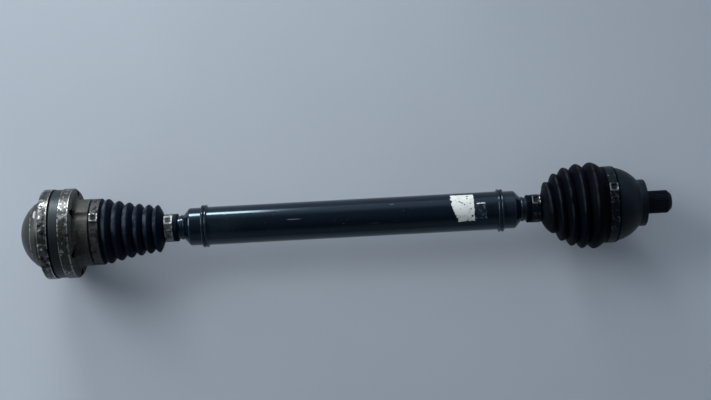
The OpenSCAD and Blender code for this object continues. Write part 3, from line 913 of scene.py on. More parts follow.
@dataclass
class Flange:
    """The bolt-on flange: joint ring, domed end cap, seal and boot cover."""

    radius: float = 54.0
    width: float = 40.0
    sheet: float = 1.6
    cap_lip: float = 11.5
    cover_lip: float = 15.6
    brow: float = 3.8
    seal: float = 2.0
    dome_height: float = 30.0
    dome_rim: float = 41.0
    dome_sphere: float = 46.5
    dome_ridges: tuple[float, ...] = (-11.8, -3.0)
    collar: float = 40.4
    collar_length: float = 17.0
    neck: float = COVER_NECK
    neck_length: float = 11.4
    sweep: float = 4.5
    pocket: float = 8.6
    pcd: float = 94.0
    hole: float = 5.25
    bolts: int = 6
    first_bolt: float = 30.0
    overrun: float = 4.0
    ring_bore: float = 43.6
    ring_sunk: float = 1.0
    seal_sunk: float = 0.35
    ridge_high: float = 0.35
    glint_x: float = -7.0
    glint_angle: float = 38.0

    def build(self, shop: Workshop) -> None:
        """Makes the four pieces."""
        self.build_cap(shop)
        self.build_cover(shop)
        self.build_ring(shop)
        self.build_seal(shop)

    def drill(self, shop: Workshop, piece: bpy.types.Object, finish: Finish) -> None:
        """Cuts the bolt holes through a piece."""
        circle = disc_outline(self.hole, self.pcd / 2.0)
        drill = bar("bolt_drill", circle, -self.overrun, self.width + self.overrun)
        shop.ring(piece, drill, shop.cut, finish, self.bolts, self.first_bolt, 360.0 / self.bolts)

    def band_wear(self, x: float, r: float, phi: float) -> float:
        """Depth of the peened pits on a band."""
        pits = max(jitter(x, r, phi, 2.2, 1.0) - 0.18, 0.0) * 0.6
        return pits + max(jitter(x, r, phi, 9.0, 2.0), 0.0) * 0.22

    def build_cap(self, shop: Workshop) -> None:
        """Makes the domed end cap with its ridges, dents and band."""
        centre = self.dome_sphere - self.dome_height
        rim_x = centre - math.sqrt(self.dome_sphere**2 - self.dome_rim**2)
        inner = self.dome_sphere - self.sheet
        inner_rim = self.dome_rim - self.sheet
        inner_x = centre - math.sqrt(inner**2 - inner_rim**2)
        arc = [math.asin(self.dome_rim / self.dome_sphere) * k / 90 for k in range(91)]
        back = [math.asin(inner_rim / inner) * k / 20 for k in range(21)]
        outline: list[Point] = [
            (centre - self.dome_sphere * math.cos(a), self.dome_sphere * math.sin(a)) for a in arc
        ]
        rim = rounded([
            (rim_x, self.dome_rim - 0.4, 0.0),
            (rim_x + 1.0, self.dome_rim, 0.6),
            (0.0, self.dome_rim, 1.8),
            (0.0, self.radius, 1.4),
            (self.cap_lip, self.radius, 0.45),
            (self.cap_lip, self.radius - self.sheet, 0.3),
            (self.sheet, self.radius - self.sheet, 0.4),
            (self.sheet, inner_rim, 0.5),
            (inner_x, inner_rim, 0.0),
        ])
        outline += split_long(rim[1:-1], 0.5, closed=False)
        outline += [(centre - inner * math.cos(a), inner * math.sin(a)) for a in reversed(back)]

        def ridge(x: float) -> float:
            """Height of the dome's ridges at a place, from 0 to 1."""
            return sum(math.exp(-(((x - middle) / 0.5) ** 2)) for middle in self.dome_ridges)

        def warp(x: float, r: float, phi: float) -> Point:
            """Pits the band, and lifts the ridges of the dome and dents it."""
            if r > self.radius - 0.6 and x > 0.6:
                return x, r - self.band_wear(x, r, phi)
            if x < -1.4 and (x < rim_x + 0.5 or r > inner_rim + 0.4):
                dent = 0.1 * min(jitter(x, r, phi, 14.0, 3.0), 0.0)
                dent += 0.04 * jitter(x, r, phi, 4.0, 4.0) - 0.1
                lift = self.ridge_high * ridge(x) + dent * min(r / 6.0, 1.0)
                tilt = min(r / self.dome_sphere, 1.0)
                return x - lift * math.sqrt(1.0 - tilt * tilt), r + lift * tilt
            return x, r

        def edge(x: float, r: float, phi: float) -> float:
            """How bright the plating is rubbed on the ridges and lip, with one painted glint on the dome.
            """
            if x < -1.0:
                # Painted glint: a bright patch where a highlight falls on the dome.
                aside = abs(phi - math.radians(self.glint_angle))
                spot = ease(abs(x - self.glint_x), 1.9, 0.6) * ease(aside, 0.20, 0.08)
                return max(0.3 * ease(ridge(x), 0.4, 1.0), 0.95 * spot)
            return 0.8 * ease(abs(x - self.cap_lip), 0.9, 0.2) if r > self.radius - 1.6 else 0.0

        fields: dict[str, Field] = {
            "grime": lambda x, r, phi: 0.35 if r < self.radius - 2.0 else 0.15,
            "edge": edge,
            "peen": lambda x, r, phi: 1.0 if r > self.radius - 1.2 and x > 0.4 else 0.0,
        }
        piece = lathe("inboard_end_cap_sheet", outline, 320, warp, fields)
        self.drill(shop, piece, SHEET)
        shop.keep(piece, SHEET, Body.INBOARD, "inboard_end_cap")

    def build_cover(self, shop: Workshop) -> None:
        """Makes the boot cover with its band, collar and bolt-head pockets."""
        end = self.width + self.collar_length
        tip = end + self.neck_length
        outline = split_long(
            rounded([
                (self.width - self.cover_lip, self.radius, 0.45),
                (self.width - self.brow, self.radius, 0.9),
                (self.width, self.radius - self.brow, 1.8),
                (self.width, self.collar, self.sweep),
                (end, self.collar, 1.3),
                (end, self.neck, 0.7),
                (tip, self.neck, 0.5),
                (tip, self.neck - self.sheet, 0.3),
                (end - self.sheet, self.neck - self.sheet, 0.5),
                (end - self.sheet, self.collar - self.sheet, 0.5),
                (self.width - self.sheet, self.collar - self.sheet, self.sweep + self.sheet),
                (self.width - self.sheet, self.radius - self.brow - 0.7, 1.2),
                (self.width - self.brow - 0.7, self.radius - self.sheet, 0.5),
                (self.width - self.cover_lip, self.radius - self.sheet, 0.3),
            ], 7),
            0.8,
        )
        apart = math.tau / self.bolts
        first = math.radians(self.first_bolt)
        root, root_r = self.width + self.sweep, self.collar + self.sweep

        def pocket(phi: float) -> Point:
            """Radius of a pocket's wall at an angle, and how much of the pocket is there, from 0 to 1."""
            turn = (phi - first + apart / 2.0) % apart - apart / 2.0
            reach = self.pcd / 2.0 * math.sin(abs(turn))
            if reach >= self.pocket:
                return self.collar, 0.0
            wall = self.pcd / 2.0 * math.cos(turn) - math.sqrt(self.pocket**2 - reach**2)
            return min(wall, self.collar), ease(self.pocket - reach, 0.0, 1.0)

        def warp(x: float, r: float, phi: float) -> Point:
            """Pits the band, presses the pockets into the collar and makes the collar uneven."""
            if r > self.radius - 0.6 and x < self.width - self.brow - 0.4:
                return x, r - self.band_wear(x, r, phi)
            if x > end + 0.01 or r < self.neck + 0.8 or r > self.collar + self.sweep:
                return x, r
            wall, share = pocket(phi)
            if x >= root:
                lumps = 0.12 * jitter(x, r, phi, 7.0, 6.0) + 0.05 * jitter(x, r, phi, 2.5, 7.0) - 0.1
                lumps *= ease(x, root, root + 3.0) * ease(end, x, x + 2.0)
                return x, r - share * (self.collar - wall) + lumps
            behind = math.hypot(x - root, r - root_r) > self.sweep + self.sheet / 2.0
            skin = self.sheet if behind else 0.0
            foot = self.collar - skin
            flat = wall - skin + (r - foot) * (root_r - wall + skin) / (root_r - foot)
            return x + (self.width - skin - x) * share, r + (flat - r) * share

        def edge(x: float, r: float, phi: float) -> float:
            """How bright the plating is rubbed on both edges of the band."""
            near = min(abs(x - self.width + self.brow + 0.3), abs(x - self.width + self.cover_lip))
            return 0.75 * ease(near, 0.9, 0.2) if r > self.radius - 1.6 else 0.0

        def peen(x: float, r: float, phi: float) -> float:
            """How peened the sheet is, which is on the band alone."""
            return 0.62 if r > self.radius - 1.2 and x < self.width - self.brow + 0.4 else 0.0

        fields: dict[str, Field] = {
            "grime": lambda x, r, phi: 1.0 if r < self.radius - 1.0 else 0.2,
            "edge": edge,
            "peen": peen,
        }
        piece = lathe("boot_cover_sheet", outline, 320, warp, fields)
        self.drill(shop, piece, DULL_SHEET)
        shop.keep(piece, DULL_SHEET, Body.INBOARD, "boot_cover")

    def build_ring(self, shop: Workshop) -> None:
        """Makes the outside of the joint ring, whose ground band shows between the covers."""
        seat = self.radius - self.sheet - SEAT_GAP
        face = self.radius - self.ring_sunk
        x0, x1 = self.cap_lip + self.seal, self.width - self.cover_lip
        outline = split_long(
            rounded([
                (self.sheet, self.ring_bore, 0.4),
                (self.sheet, seat, 1.2),
                (x0, seat, 0.2),
                (x0, face, 0.35),
                (x1, face, 0.35),
                (x1, seat, 0.2),
                (self.width - self.sheet, seat, 5.4),
                (self.width - self.sheet, self.ring_bore, 0.4),
            ]),
            1.2,
        )

        def warp(x: float, r: float, phi: float) -> Point:
            """Nicks the band that shows."""
            nick = max(jitter(x, r, phi, 3.5, 8.0) - 0.55, 0.0) if r > seat + 0.3 else 0.0
            return x, r - nick * 0.6

        piece = lathe("inboard_joint_ring_band", outline, 240, warp)
        self.drill(shop, piece, RING_STEEL)
        shop.keep(piece, RING_STEEL, Body.INBOARD, "inboard_joint_ring")

    def build_seal(self, shop: Workshop) -> None:
        """Makes the squeezed rubber seal beside the cap's band."""
        inner, outer = self.radius - self.sheet, self.radius - self.seal_sunk
        outline = rounded([
            (self.cap_lip, inner, 0.1),
            (self.cap_lip, outer, 0.5),
            (self.cap_lip + self.seal, outer, 0.5),
            (self.cap_lip + self.seal, inner, 0.1),
        ])

        def warp(x: float, r: float, phi: float) -> Point:
            """Squeezes the bead in here and there."""
            return x, r - (0.25 * max(jitter(x, r, phi, 6.0, 9.0), 0.0) if r > inner + 0.4 else 0.0)

        piece = lathe("end_cap_seal_bead", outline, 240, warp, {"dust": lambda x, r, phi: 0.3})
        shop.keep(piece, SEAL_RUBBER, Body.INBOARD, "end_cap_seal")


@dataclass
class Shaft:
    """The tube and its two forged stub shafts, joined by friction welds."""

    tube: float = TUBE_RADIUS
    wall: float = 4.0
    weld_in: float = 191.2
    weld_out: float = 546.0
    bead: float = 1.9
    bead_lift: float = 0.9
    neck: float = STUB_NECK
    core: float = 12.8
    shoulder: float = 22.6
    rib: Point = (3.2, 6.8)
    rib_high: float = 0.9
    flare: float = 7.6
    sleeve_in: Point = INBOARD_SLEEVE
    sleeve_out: Point = OUTBOARD_SLEEVE[::-1]
    end_in: float = 0.0
    end_out: float = 691.0

    def build(self, shop: Workshop) -> None:
        """Makes the tube and both stubs."""
        tube = lathe("tube_painted", self.tube_outline(), 192, self.curl)
        shop.keep(tube, TUBE_PAINT, Body.SHAFT, "shaft_tube")
        for name, weld, end, sleeve in (
            ("inboard_stub_shaft", self.weld_in, self.end_in, self.sleeve_in),
            ("outboard_stub_shaft", self.weld_out, self.end_out, self.sleeve_out),
        ):
            piece = lathe(f"{name}_forging", self.stub_outline(weld, end, sleeve), 160, self.curl)
            shop.keep(piece, STUB_PAINT, Body.SHAFT, name)

    def bead_arc(self, weld: float, side: float, foot: float, steps: int = 16) -> list[Point]:
        """Points over one rolled bead, from the weld plane to the surface beside it.

        Args:
            weld: Place of the weld plane.
            side: 1 for the bead on the +X side of it, -1 for the other.
            foot: Radius of the surface where the bead ends.
            steps: Number of points, less one.

        Returns:
            Place and radius of each point.
        """
        low = math.asin(min(max((foot - self.tube - self.bead_lift) / self.bead, -1.0), 1.0))
        turns = [math.pi + (low - math.pi) * k / steps for k in range(steps + 1)]
        middle = weld + side * self.bead
        return [
            (middle + side * self.bead * math.cos(a), self.tube + self.bead_lift + self.bead * math.sin(a))
            for a in turns
        ]

    def curl(self, x: float, r: float, phi: float) -> Point:
        """Makes the rolled beads uneven, as friction welds are."""
        rise = r - self.tube - 0.05
        if rise <= 0.0:
            return x, r
        wave = 0.45 * jitter(0.0, self.tube, phi, 9.0, x // 300.0)
        wave += 0.2 * jitter(x, self.tube, phi, 3.0, 4.0) - 0.2
        sway = 0.12 * jitter(x, self.tube, phi, 5.0, 6.0)
        return x + sway * min(rise, 1.0), r + wave * min(rise / 2.0, 1.0)

    def tube_outline(self) -> list[Point]:
        """Outline of the tube with one bead at each end."""
        first = self.bead_arc(self.weld_in, 1.0, self.tube)
        last = self.bead_arc(self.weld_out, -1.0, self.tube)
        a, b = first[-1][0], last[-1][0]
        middle = [(a + (b - a) * k / 30, self.tube) for k in range(1, 30)]
        bore = self.tube - self.wall
        return first + middle + last[::-1] + [(self.weld_out, bore), (self.weld_in, bore)]

    def stub_outline(self, weld: float, end: float, sleeve: Point) -> list[Point]:
        """Outline of one stub, drawn from its inner end to its weld.

        Args:
            weld: Place of the weld plane.
            end: Place of the inner end.
            sleeve: Places of the boot's small end, the one nearer the joint first.

        Returns:
            Place and radius of each point.
        """
        side = 1.0 if weld > end else -1.0
        rib_start, rib_end = (sleeve[1] + side * reach for reach in self.rib)
        flare_end = sleeve[1] + side * (self.rib[1] + self.flare)
        corners = [
            (end, 0.0, 0.0),
            (end, self.core - 1.6, 0.8),
            (end + side * 6.0, self.core - 1.0, 0.6),
            (sleeve[0] - side * 4.0, self.core, 0.8),
            (sleeve[0] - side * 2.0, self.neck, 0.8),
            (rib_start, self.neck, 0.5),
            (rib_start + side * 0.7, self.neck + self.rib_high, 0.5),
            (rib_end - side * 1.2, self.neck + self.rib_high, 0.5),
            (rib_end, self.neck + 0.3, 1.0),
            (flare_end - side * 0.6, self.shoulder - 0.5, 1.2),
            (flare_end + side * 0.8, self.shoulder, 1.0),
        ]
        ahead = weld - side * 6.0
        body = rounded(corners + [(ahead, self.shoulder, 0.0), (ahead, 0.0, 0.0)], 5)[:-2]
        arc = self.bead_arc(weld, -side, self.shoulder)[::-1]
        run = [(flare_end + (arc[0][0] - flare_end) * k / 4, self.shoulder) for k in range(2, 4)]
        bore = self.tube - self.wall
        return body + run + arc + [
            (weld, bore),
            (weld - side * 9.0, bore),
            (weld - side * 12.0, bore - 3.0),
            (weld - side * 15.0, 0.0),
        ]


@dataclass
class Pleats:
    """Folds of a boot: their places, radii and depth, from the first top to the last."""

    tops: list[Point]
    depth: float
    wall: float = 2.6

    @classmethod
    def spaced(
        cls, first: float, pitch: float, growth: float, radii: Sequence[float], depth: float
    ) -> "Pleats":
        """Sets the tops at a pitch that changes evenly from fold to fold.

        Args:
            first: Place of the first top.
            pitch: Distance to the second one.
            growth: How much longer each next distance is.
            radii: Radius of each top.
            depth: Depth of the valleys below the tops beside them.

        Returns:
            The folds.
        """
        places = [first + pitch * k + growth * k * (k - 1) / 2.0 for k in range(len(radii))]
        return cls(list(zip(places, radii)), depth)

    def sunk(self, points: Sequence[Point]) -> list[Point]:
        """The same points one wall further in."""
        return [(x, r - self.wall) for x, r in points]

    def knots(self) -> list[Point]:
        """Tops and valleys in turn."""
        result: list[Point] = []
        for (x0, r0), (x1, r1) in zip(self.tops, self.tops[1:]):
            result += [(x0, r0), ((x0 + x1) / 2.0, (r0 + r1) / 2.0 - self.depth)]
        return result + [self.tops[-1]]

    @staticmethod
    def run(a: Point, b: Point, steps: int = 12, bold: float = 1.75) -> list[Point]:
        """Points from one knot to the next, round at the top and narrow in the valley.

        Args:
            a: The first knot.
            b: The next knot, which isn't among the points.
            steps: Number of points.
            bold: How the fold falls away from its top: 1 is straight and 2 is a round arc.

        Returns:
            Place and radius of each point.
        """
        valley, top = sorted((a, b), key=lambda knot: knot[1])
        points = []
        for k in range(steps):
            t = k / steps
            away = t if a is top else 1.0 - t
            sunk = min(1.04 * away**bold, 1.0)
            points.append((a[0] + (b[0] - a[0]) * t, top[1] + (valley[1] - top[1]) * sunk))
        return points


def boot_piece(
    shop: Workshop,
    name: str,
    finish: Finish,
    outside: list[Point],
    inside: list[Point],
    seed: float,
    dust: Field,
    lean: Callable[[float], float] = lambda x: 0.0,
) -> bpy.types.Object:
    """Turns the outside and inside of a boot into one closed piece with the bellows group.

    Args:
        shop: Holds the group.
        name: Name of the piece.
        finish: Its finish.
        outside: Outline of the outside, along +X.
        inside: Outline of the inside, along +X.
        seed: Picks the pattern of its unevenness.
        dust: How much dust and painted light lies at a place, for how far the skin faces -X and an angle.
        lean: How far a fold at a place sits crooked, as a shift of its +Y side along the shaft.

    Returns:
        The piece.
    """
    segments, ripple = 176, 0.7
    loop = outside + inside[::-1]
    loop.append(loop[0])
    mesh = bpy.data.meshes.new(name)
    edges = [(k, k + 1) for k in range(len(loop) - 1)]
    mesh.from_pydata([(x * MM, 0.0, r * MM) for x, r in loop], edges, [])
    piece = new_object(name, mesh)
    shop.bellows.apply(
        piece, Rows=len(loop), Segments=segments, Ripple=ripple * MM, Seed=seed, Finish=finish.material()
    )
    # The field dust mixes dust with painted light, from how far the skin faces -X.
    values = []
    for vertex in piece.data.vertices:
        x, y, z = vertex.co / MM
        values.append(dust(x, -vertex.normal.x, math.atan2(y, z)))
    paint_field(piece.data, "dust", values)
    for vertex in piece.data.vertices:
        vertex.co.x += lean(vertex.co.x / MM) * math.sin(math.atan2(vertex.co.y, vertex.co.z)) * MM
    return piece


@dataclass
class Clamp:
    """A crimped ear clamp: one strip that goes round, climbs over its ear and laps over itself.

    It starts at x and grips the radius seat. Its ear is at an angle in degrees, and its slots are at
    distances round the seat from the middle of the ear.
    """

    name: str
    x: float
    seat: float
    ear: float
    finish: Finish
    body: Body
    width: float = 10.0
    thick: float = 0.8
    ear_half: float = 5.4
    ear_high: float = 3.0
    lap: float = 80.0
    dimple_deep: float = 1.3
    slots: tuple[float, float, float] = (-8.0, -13.6, -19.2)
    slot_half: float = 1.3
    edge_round: float = 0.24

    def build(self, shop: Workshop) -> None:
        """Makes the strip, cuts its slots and adds the hooks that show in them."""
        piece = self.strip()
        outer = self.seat + self.thick * 1.5 + 0.1
        half, low, high = self.slot_half, outer - 0.1, outer + 2.0
        slot_shape = [(-half, low), (half, low), (half, high), (-half, high)]
        slot = bar("slot_cutter", slot_shape, *self.across(0.32))
        first = self.ear + math.degrees(self.slots[0] / self.seat)
        step = math.degrees((self.slots[1] - self.slots[0]) / self.seat)
        shop.ring(piece, slot, shop.cut, self.finish, len(self.slots), first, step)
        hook_shape = [(-0.9, -0.5), (1.2, -0.5), (0.9, 0.75), (0.3, 0.85), (-0.5, 0.1)]
        hook = bar("slot_hook", [(y, outer + z) for y, z in hook_shape], *self.across(0.38))
        paint_field(hook.data, "rub", [0.2] * len(hook.data.vertices))
        # Painted shade on the hooks, which sit down in the slots.
        paint_field(hook.data, "pit", [0.7] * len(hook.data.vertices))
        shop.ring(piece, hook, shop.add, self.finish, len(self.slots), first, step)
        shop.keep(piece, self.finish, self.body, self.name)

    def across(self, margin: float) -> Point:
        """Places along the shaft that leave a share of the strip's width free on both sides."""
        return self.x + self.width * margin, self.x + self.width * (1.0 - margin)

    def path(self) -> list[tuple[float, float, float]]:
        """Middle line of the strip.

        Returns:
            Angle from the top in radians, radius and width share of each point, from the inner end on.
        """
        low = self.seat + SEAT_GAP + self.thick / 2.0
        high = low + self.thick + 0.04
        h, top = self.ear_half, self.ear_high
        omega = [(-h - 1.6, 0.0), (-h - 0.4, 0.08), (-h + 0.5, 0.6), (-h + 0.75, 1.3), (-h + 0.45, 2.0)]
        omega += [(-h + 0.75, 2.6), (-h + 1.6, top), (-1.6, top - 0.25), (0.0, top - 0.45)]
        omega += [(1.6, top - 0.25), (h - 1.6, top), (h - 0.75, 2.7), (h - 0.45, 2.2)]
        omega += [(h - 0.75, 1.6), (h - 0.5, 1.15), (h + 0.4, 0.9), (h + 1.6, 0.84)]
        ear = math.radians(self.ear)
        line: list[tuple[float, float, float]] = []
        start, stop = ear + h / low, ear + (h + 2.4) / low - math.tau
        turns = 150
        line += [(start + (stop - start) * k / turns, low, 1.0) for k in range(turns + 1)]
        again = ear - math.tau
        for (t0, h0), (t1, h1) in zip(omega, omega[1:]):
            for k in range(3):
                line.append((again - (t0 + (t1 - t0) * k / 3) / low, low + h0 + (h1 - h0) * k / 3, 1.0))
        begin, end = again - (h + 1.8) / low, again - math.radians(self.lap)
        lapped = 44
        for k in range(lapped + 1):
            a = begin + (end - begin) * k / lapped
            left = (a - end) * high
            line.append((a, high, 0.96 - 0.42 * ease(left, 5.0, 0.0)))
        return line

    def from_ear(self, angle: float) -> float:
        """Distance round the seat from the middle of the ear, more towards +Y, for an angle in radians."""
        off = (math.degrees(angle) - self.ear + 180.0) % 360.0 - 180.0
        return math.radians(off) * self.seat

    def dimple(self, angle: float, radius: float, side: float) -> float:
        """How far the crimped dimple in the ear's top goes down.

        Args:
            angle: Angle from the top, in radians.
            radius: Distance of the strip from the shaft axis.
            side: 0 in the middle of the strip's width and 1 on its edges.

        Returns:
            0 outside the dimple and 1 at its bottom.
        """
        if radius < self.seat + self.ear_high - 0.6:
            return 0.0
        return ease(abs(self.from_ear(angle)), 3.9, 2.2) * ease(side, 0.8, 0.45)

    def rubbed(self, angle: float, radius: float, side: float) -> float:
        """How far the strip is rubbed bright: round the ear's top, and a little beside it towards +Y.

        Args:
            angle: Angle from the top, in radians.
            radius: Distance of the strip from the shaft axis.
            side: 0 in the middle of the strip's width and 1 on its edges.

        Returns:
            A value from 0 to 1.
        """
        arc = self.from_ear(angle)
        ear = ease(radius, self.seat + 1.4, self.seat + self.ear_high)
        rim = max(ease(-arc, 2.4, 3.8), 0.6 * ease(arc, 2.4, 3.8), ease(side, 0.5, 0.85))
        h = self.ear_half
        beside = 0.06 * ease(arc, h * 0.8, h) * ease(arc, h + 16.0, h + 6.0)
        return max(ear * rim, beside)

    def slotted(self, angle: float, side: float) -> float:
        """Painted shade about the slots, for an angle in radians and a share of the half width."""
        arc = self.from_ear(angle)
        return 0.95 * max(ease(abs(arc - slot), 2.6, 1.5) for slot in self.slots) * ease(side, 0.75, 0.5)

    def section(self, share: float) -> list[Point]:
        """Corners of the flat section with its round edges, for a share of the full width."""
        half_t, half_w, by = self.thick / 2.0, self.width / 2.0 * share, self.edge_round
        inner = [half_w * k / 4.0 for k in range(3, -4, -1)]
        flat = [half_w - by, *inner, by - half_w]
        near = [(-half_w, half_t - by), (-half_w, by - half_t)]
        far = [(half_w, by - half_t), (half_w, half_t - by)]
        return [(u, half_t) for u in flat] + near + [(u, -half_t) for u in reversed(flat)] + far

    def strip(self) -> bpy.types.Object:
        """Sweeps the section along the path."""
        work = bmesh.new()
        path = self.path()
        spots = [Vector((r * math.sin(a), r * math.cos(a))) for a, r, _ in path]
        for _ in range(2):
            spots = [spots[0]] + [
                (p + q * 2.0 + s) / 4.0 for p, q, s in zip(spots, spots[1:], spots[2:])
            ] + [spots[-1]]
        rings: list[list[bmesh.types.BMVert]] = []
        fields: dict[str, list[float]] = {"rub": [], "pit": [], "edge": []}
        centre = self.x + self.width / 2.0
        for i, (a, r, share) in enumerate(path):
            ahead = spots[min(i + 1, len(spots) - 1)] - spots[max(i - 1, 0)]
            normal = Vector((ahead.y, -ahead.x)).normalized()
            if normal.dot(spots[i]) < 0.0 and r < self.seat + 1.2 * self.thick:
                normal = -normal
            ring = []
            for u, v in self.section(share):
                side = abs(u) / (self.width / 2.0 * share)
                dip = self.dimple(a, r, side)
                spot = spots[i] + normal * (v - self.dimple_deep * dip)
                ring.append(work.verts.new(((centre + u) * MM, spot.x * MM, spot.y * MM)))
                fields["rub"].append(self.rubbed(a, spots[i].length, side) * (1.0 - dip))
                # The field pit is painted shade: in the ear's dimple and about the slots.
                fields["pit"].append(max(0.8 * dip, self.slotted(a, side)))
                fields["edge"].append(1.0 if side > 0.9 else 0.0)
            rings.append(ring)
        for p, q in zip(rings, rings[1:]):
            for k in range(len(p)):
                m = (k + 1) % len(p)
                work.faces.new((p[k], p[m], q[m], q[k]))
        work.faces.new(rings[0])
        work.faces.new(rings[-1])
        return close_mesh(f"{self.name}_strip", work, fields)


@dataclass
class InboardBoot:
    """The six-fold boot between the boot cover and the shaft, in two pieces that meet in a valley."""

    cuff: Point = (57.8, 70.8)
    cuff_r: float = INBOARD_CUFF
    lip: float = 0.5
    neck: float = COVER_NECK + SEAT_GAP
    first_valley: float = 35.6
    sleeve: Point = INBOARD_SLEEVE
    sleeve_r: float = SLEEVE_RADIUS
    bore: float = STUB_NECK + SEAT_GAP
    slope: float = 1.35
    split: int = 5
    seam_half: float = 2.0
    seed: float = 1.0
    pleats: Pleats = field(
        default_factory=lambda: Pleats.spaced(76.4, 12.44, -0.32, (38.9, 36.0, 33.4, 31.3, 29.6, 28.7), 5.4)
    )

    def build(self, shop: Workshop) -> None:
        """Makes the large and the small end."""
        knots = self.pleats.knots()
        runs = [Pleats.run(a, b) for a, b in zip(knots, knots[1:])]
        meet = knots[self.split]
        large_folds = [point for run in runs[: self.split] for point in run] + [meet]
        small_folds = [point for run in runs[self.split :] for point in run]
        large = boot_piece(
            shop,
            "inboard_boot_large_end",
            DUSTY_RUBBER,
            self.head(knots[0]) + large_folds,
            self.inner_head(knots[0]) + self.pleats.sunk(large_folds),
            self.seed,
            self.dust,
        )
        small = boot_piece(
            shop,
            "inboard_boot_small_end",
            DUSTY_RUBBER,
            small_folds + self.tail(knots[-1]),
            self.pleats.sunk(small_folds) + self.inner_tail(knots[-1]),
            self.seed,
            self.dust,
        )
        shop.keep(large, DUSTY_RUBBER, None, "inboard_boot")
        shop.keep(small, DUSTY_RUBBER, None, "inboard_boot")
        left, right = meet[0] - self.seam_half, meet[0] + self.seam_half
        places = (self.cuff[1], left, right, self.sleeve[0] - 1.3)
        start, before, after, end = ((x * MM, 0.0, 0.0) for x in places)
        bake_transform(large)
        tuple(start)
        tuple(before)
        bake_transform(small)
        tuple(after)
        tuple(end)

    def head(self, first: Point) -> list[Point]:
        """Outside of the cuff up to the first fold."""
        x0, x1 = self.cuff
        r, lip = self.cuff_r, self.cuff_r + self.lip
        points = [(x0, r - 0.3), (x0 + 0.25, lip), (x0 + 0.9, lip), (x0 + 1.1, r)]
        points += [(x1 - 2.0, r), (x1 - 1.4, r - 0.3), (x1 - 0.5, r - 2.0)]
        return points + Pleats.run((x1 + 0.4, self.first_valley), first, 8)

    def inner_head(self, first: Point) -> list[Point]:
        """Inside of the cuff up to the first fold."""
        x0, x1 = self.cuff
        rise = (x1 - 0.6, self.first_valley - self.pleats.wall + 0.8)
        run = Pleats.run((x1 + 0.8, self.first_valley), first, 6)
        return [(x0, self.neck), (x1 - 2.1, self.neck), rise] + self.pleats.sunk(run)

    def tail(self, last: Point) -> list[Point]:
        """Outside from the last fold to the end of the sleeve."""
        x0, x1 = self.sleeve
        r, lip = self.sleeve_r, self.sleeve_r + self.lip
        points = [(x0 + 0.7, r), (x1 - 5.2, r), (x1 - 4.9, lip)]
        points += [(x1 - 0.6, lip), (x1 - 0.1, r + 0.2), (x1, r - 0.4)]
        return Pleats.run(last, (x0, r + 0.6), 12, self.slope) + points

    def inner_tail(self, last: Point) -> list[Point]:
        """Inside from the last fold to the end of the sleeve."""
        x0, x1 = self.sleeve
        run = Pleats.run(last, (x0 - 2.4, self.bore + self.pleats.wall), 10, self.slope)
        return self.pleats.sunk(run) + [(x0 - 1.6, self.bore), (x1, self.bore)]

    @staticmethod
    def dust(x: float, facing: float, phi: float) -> float:
        """How much dust and painted sheen lie at a place: on upper flanks facing the flange, less near the
        shaft.

        Args:
            x: Place along the shaft.
            facing: How far the skin faces -X, from -1 to 1.
            phi: Angle from the top, in radians.

        Returns:
            A value from 0 to 1.
        """
        upper = 0.15 + 0.85 * ease(math.sin(phi), -0.5, 0.6)
        along = 1.0 - 0.4 * ease(x, 118.0, 135.0)
        return ease(facing, -0.1 - 0.4 * ease(x, 80.0, 72.0), 0.75) * upper * along


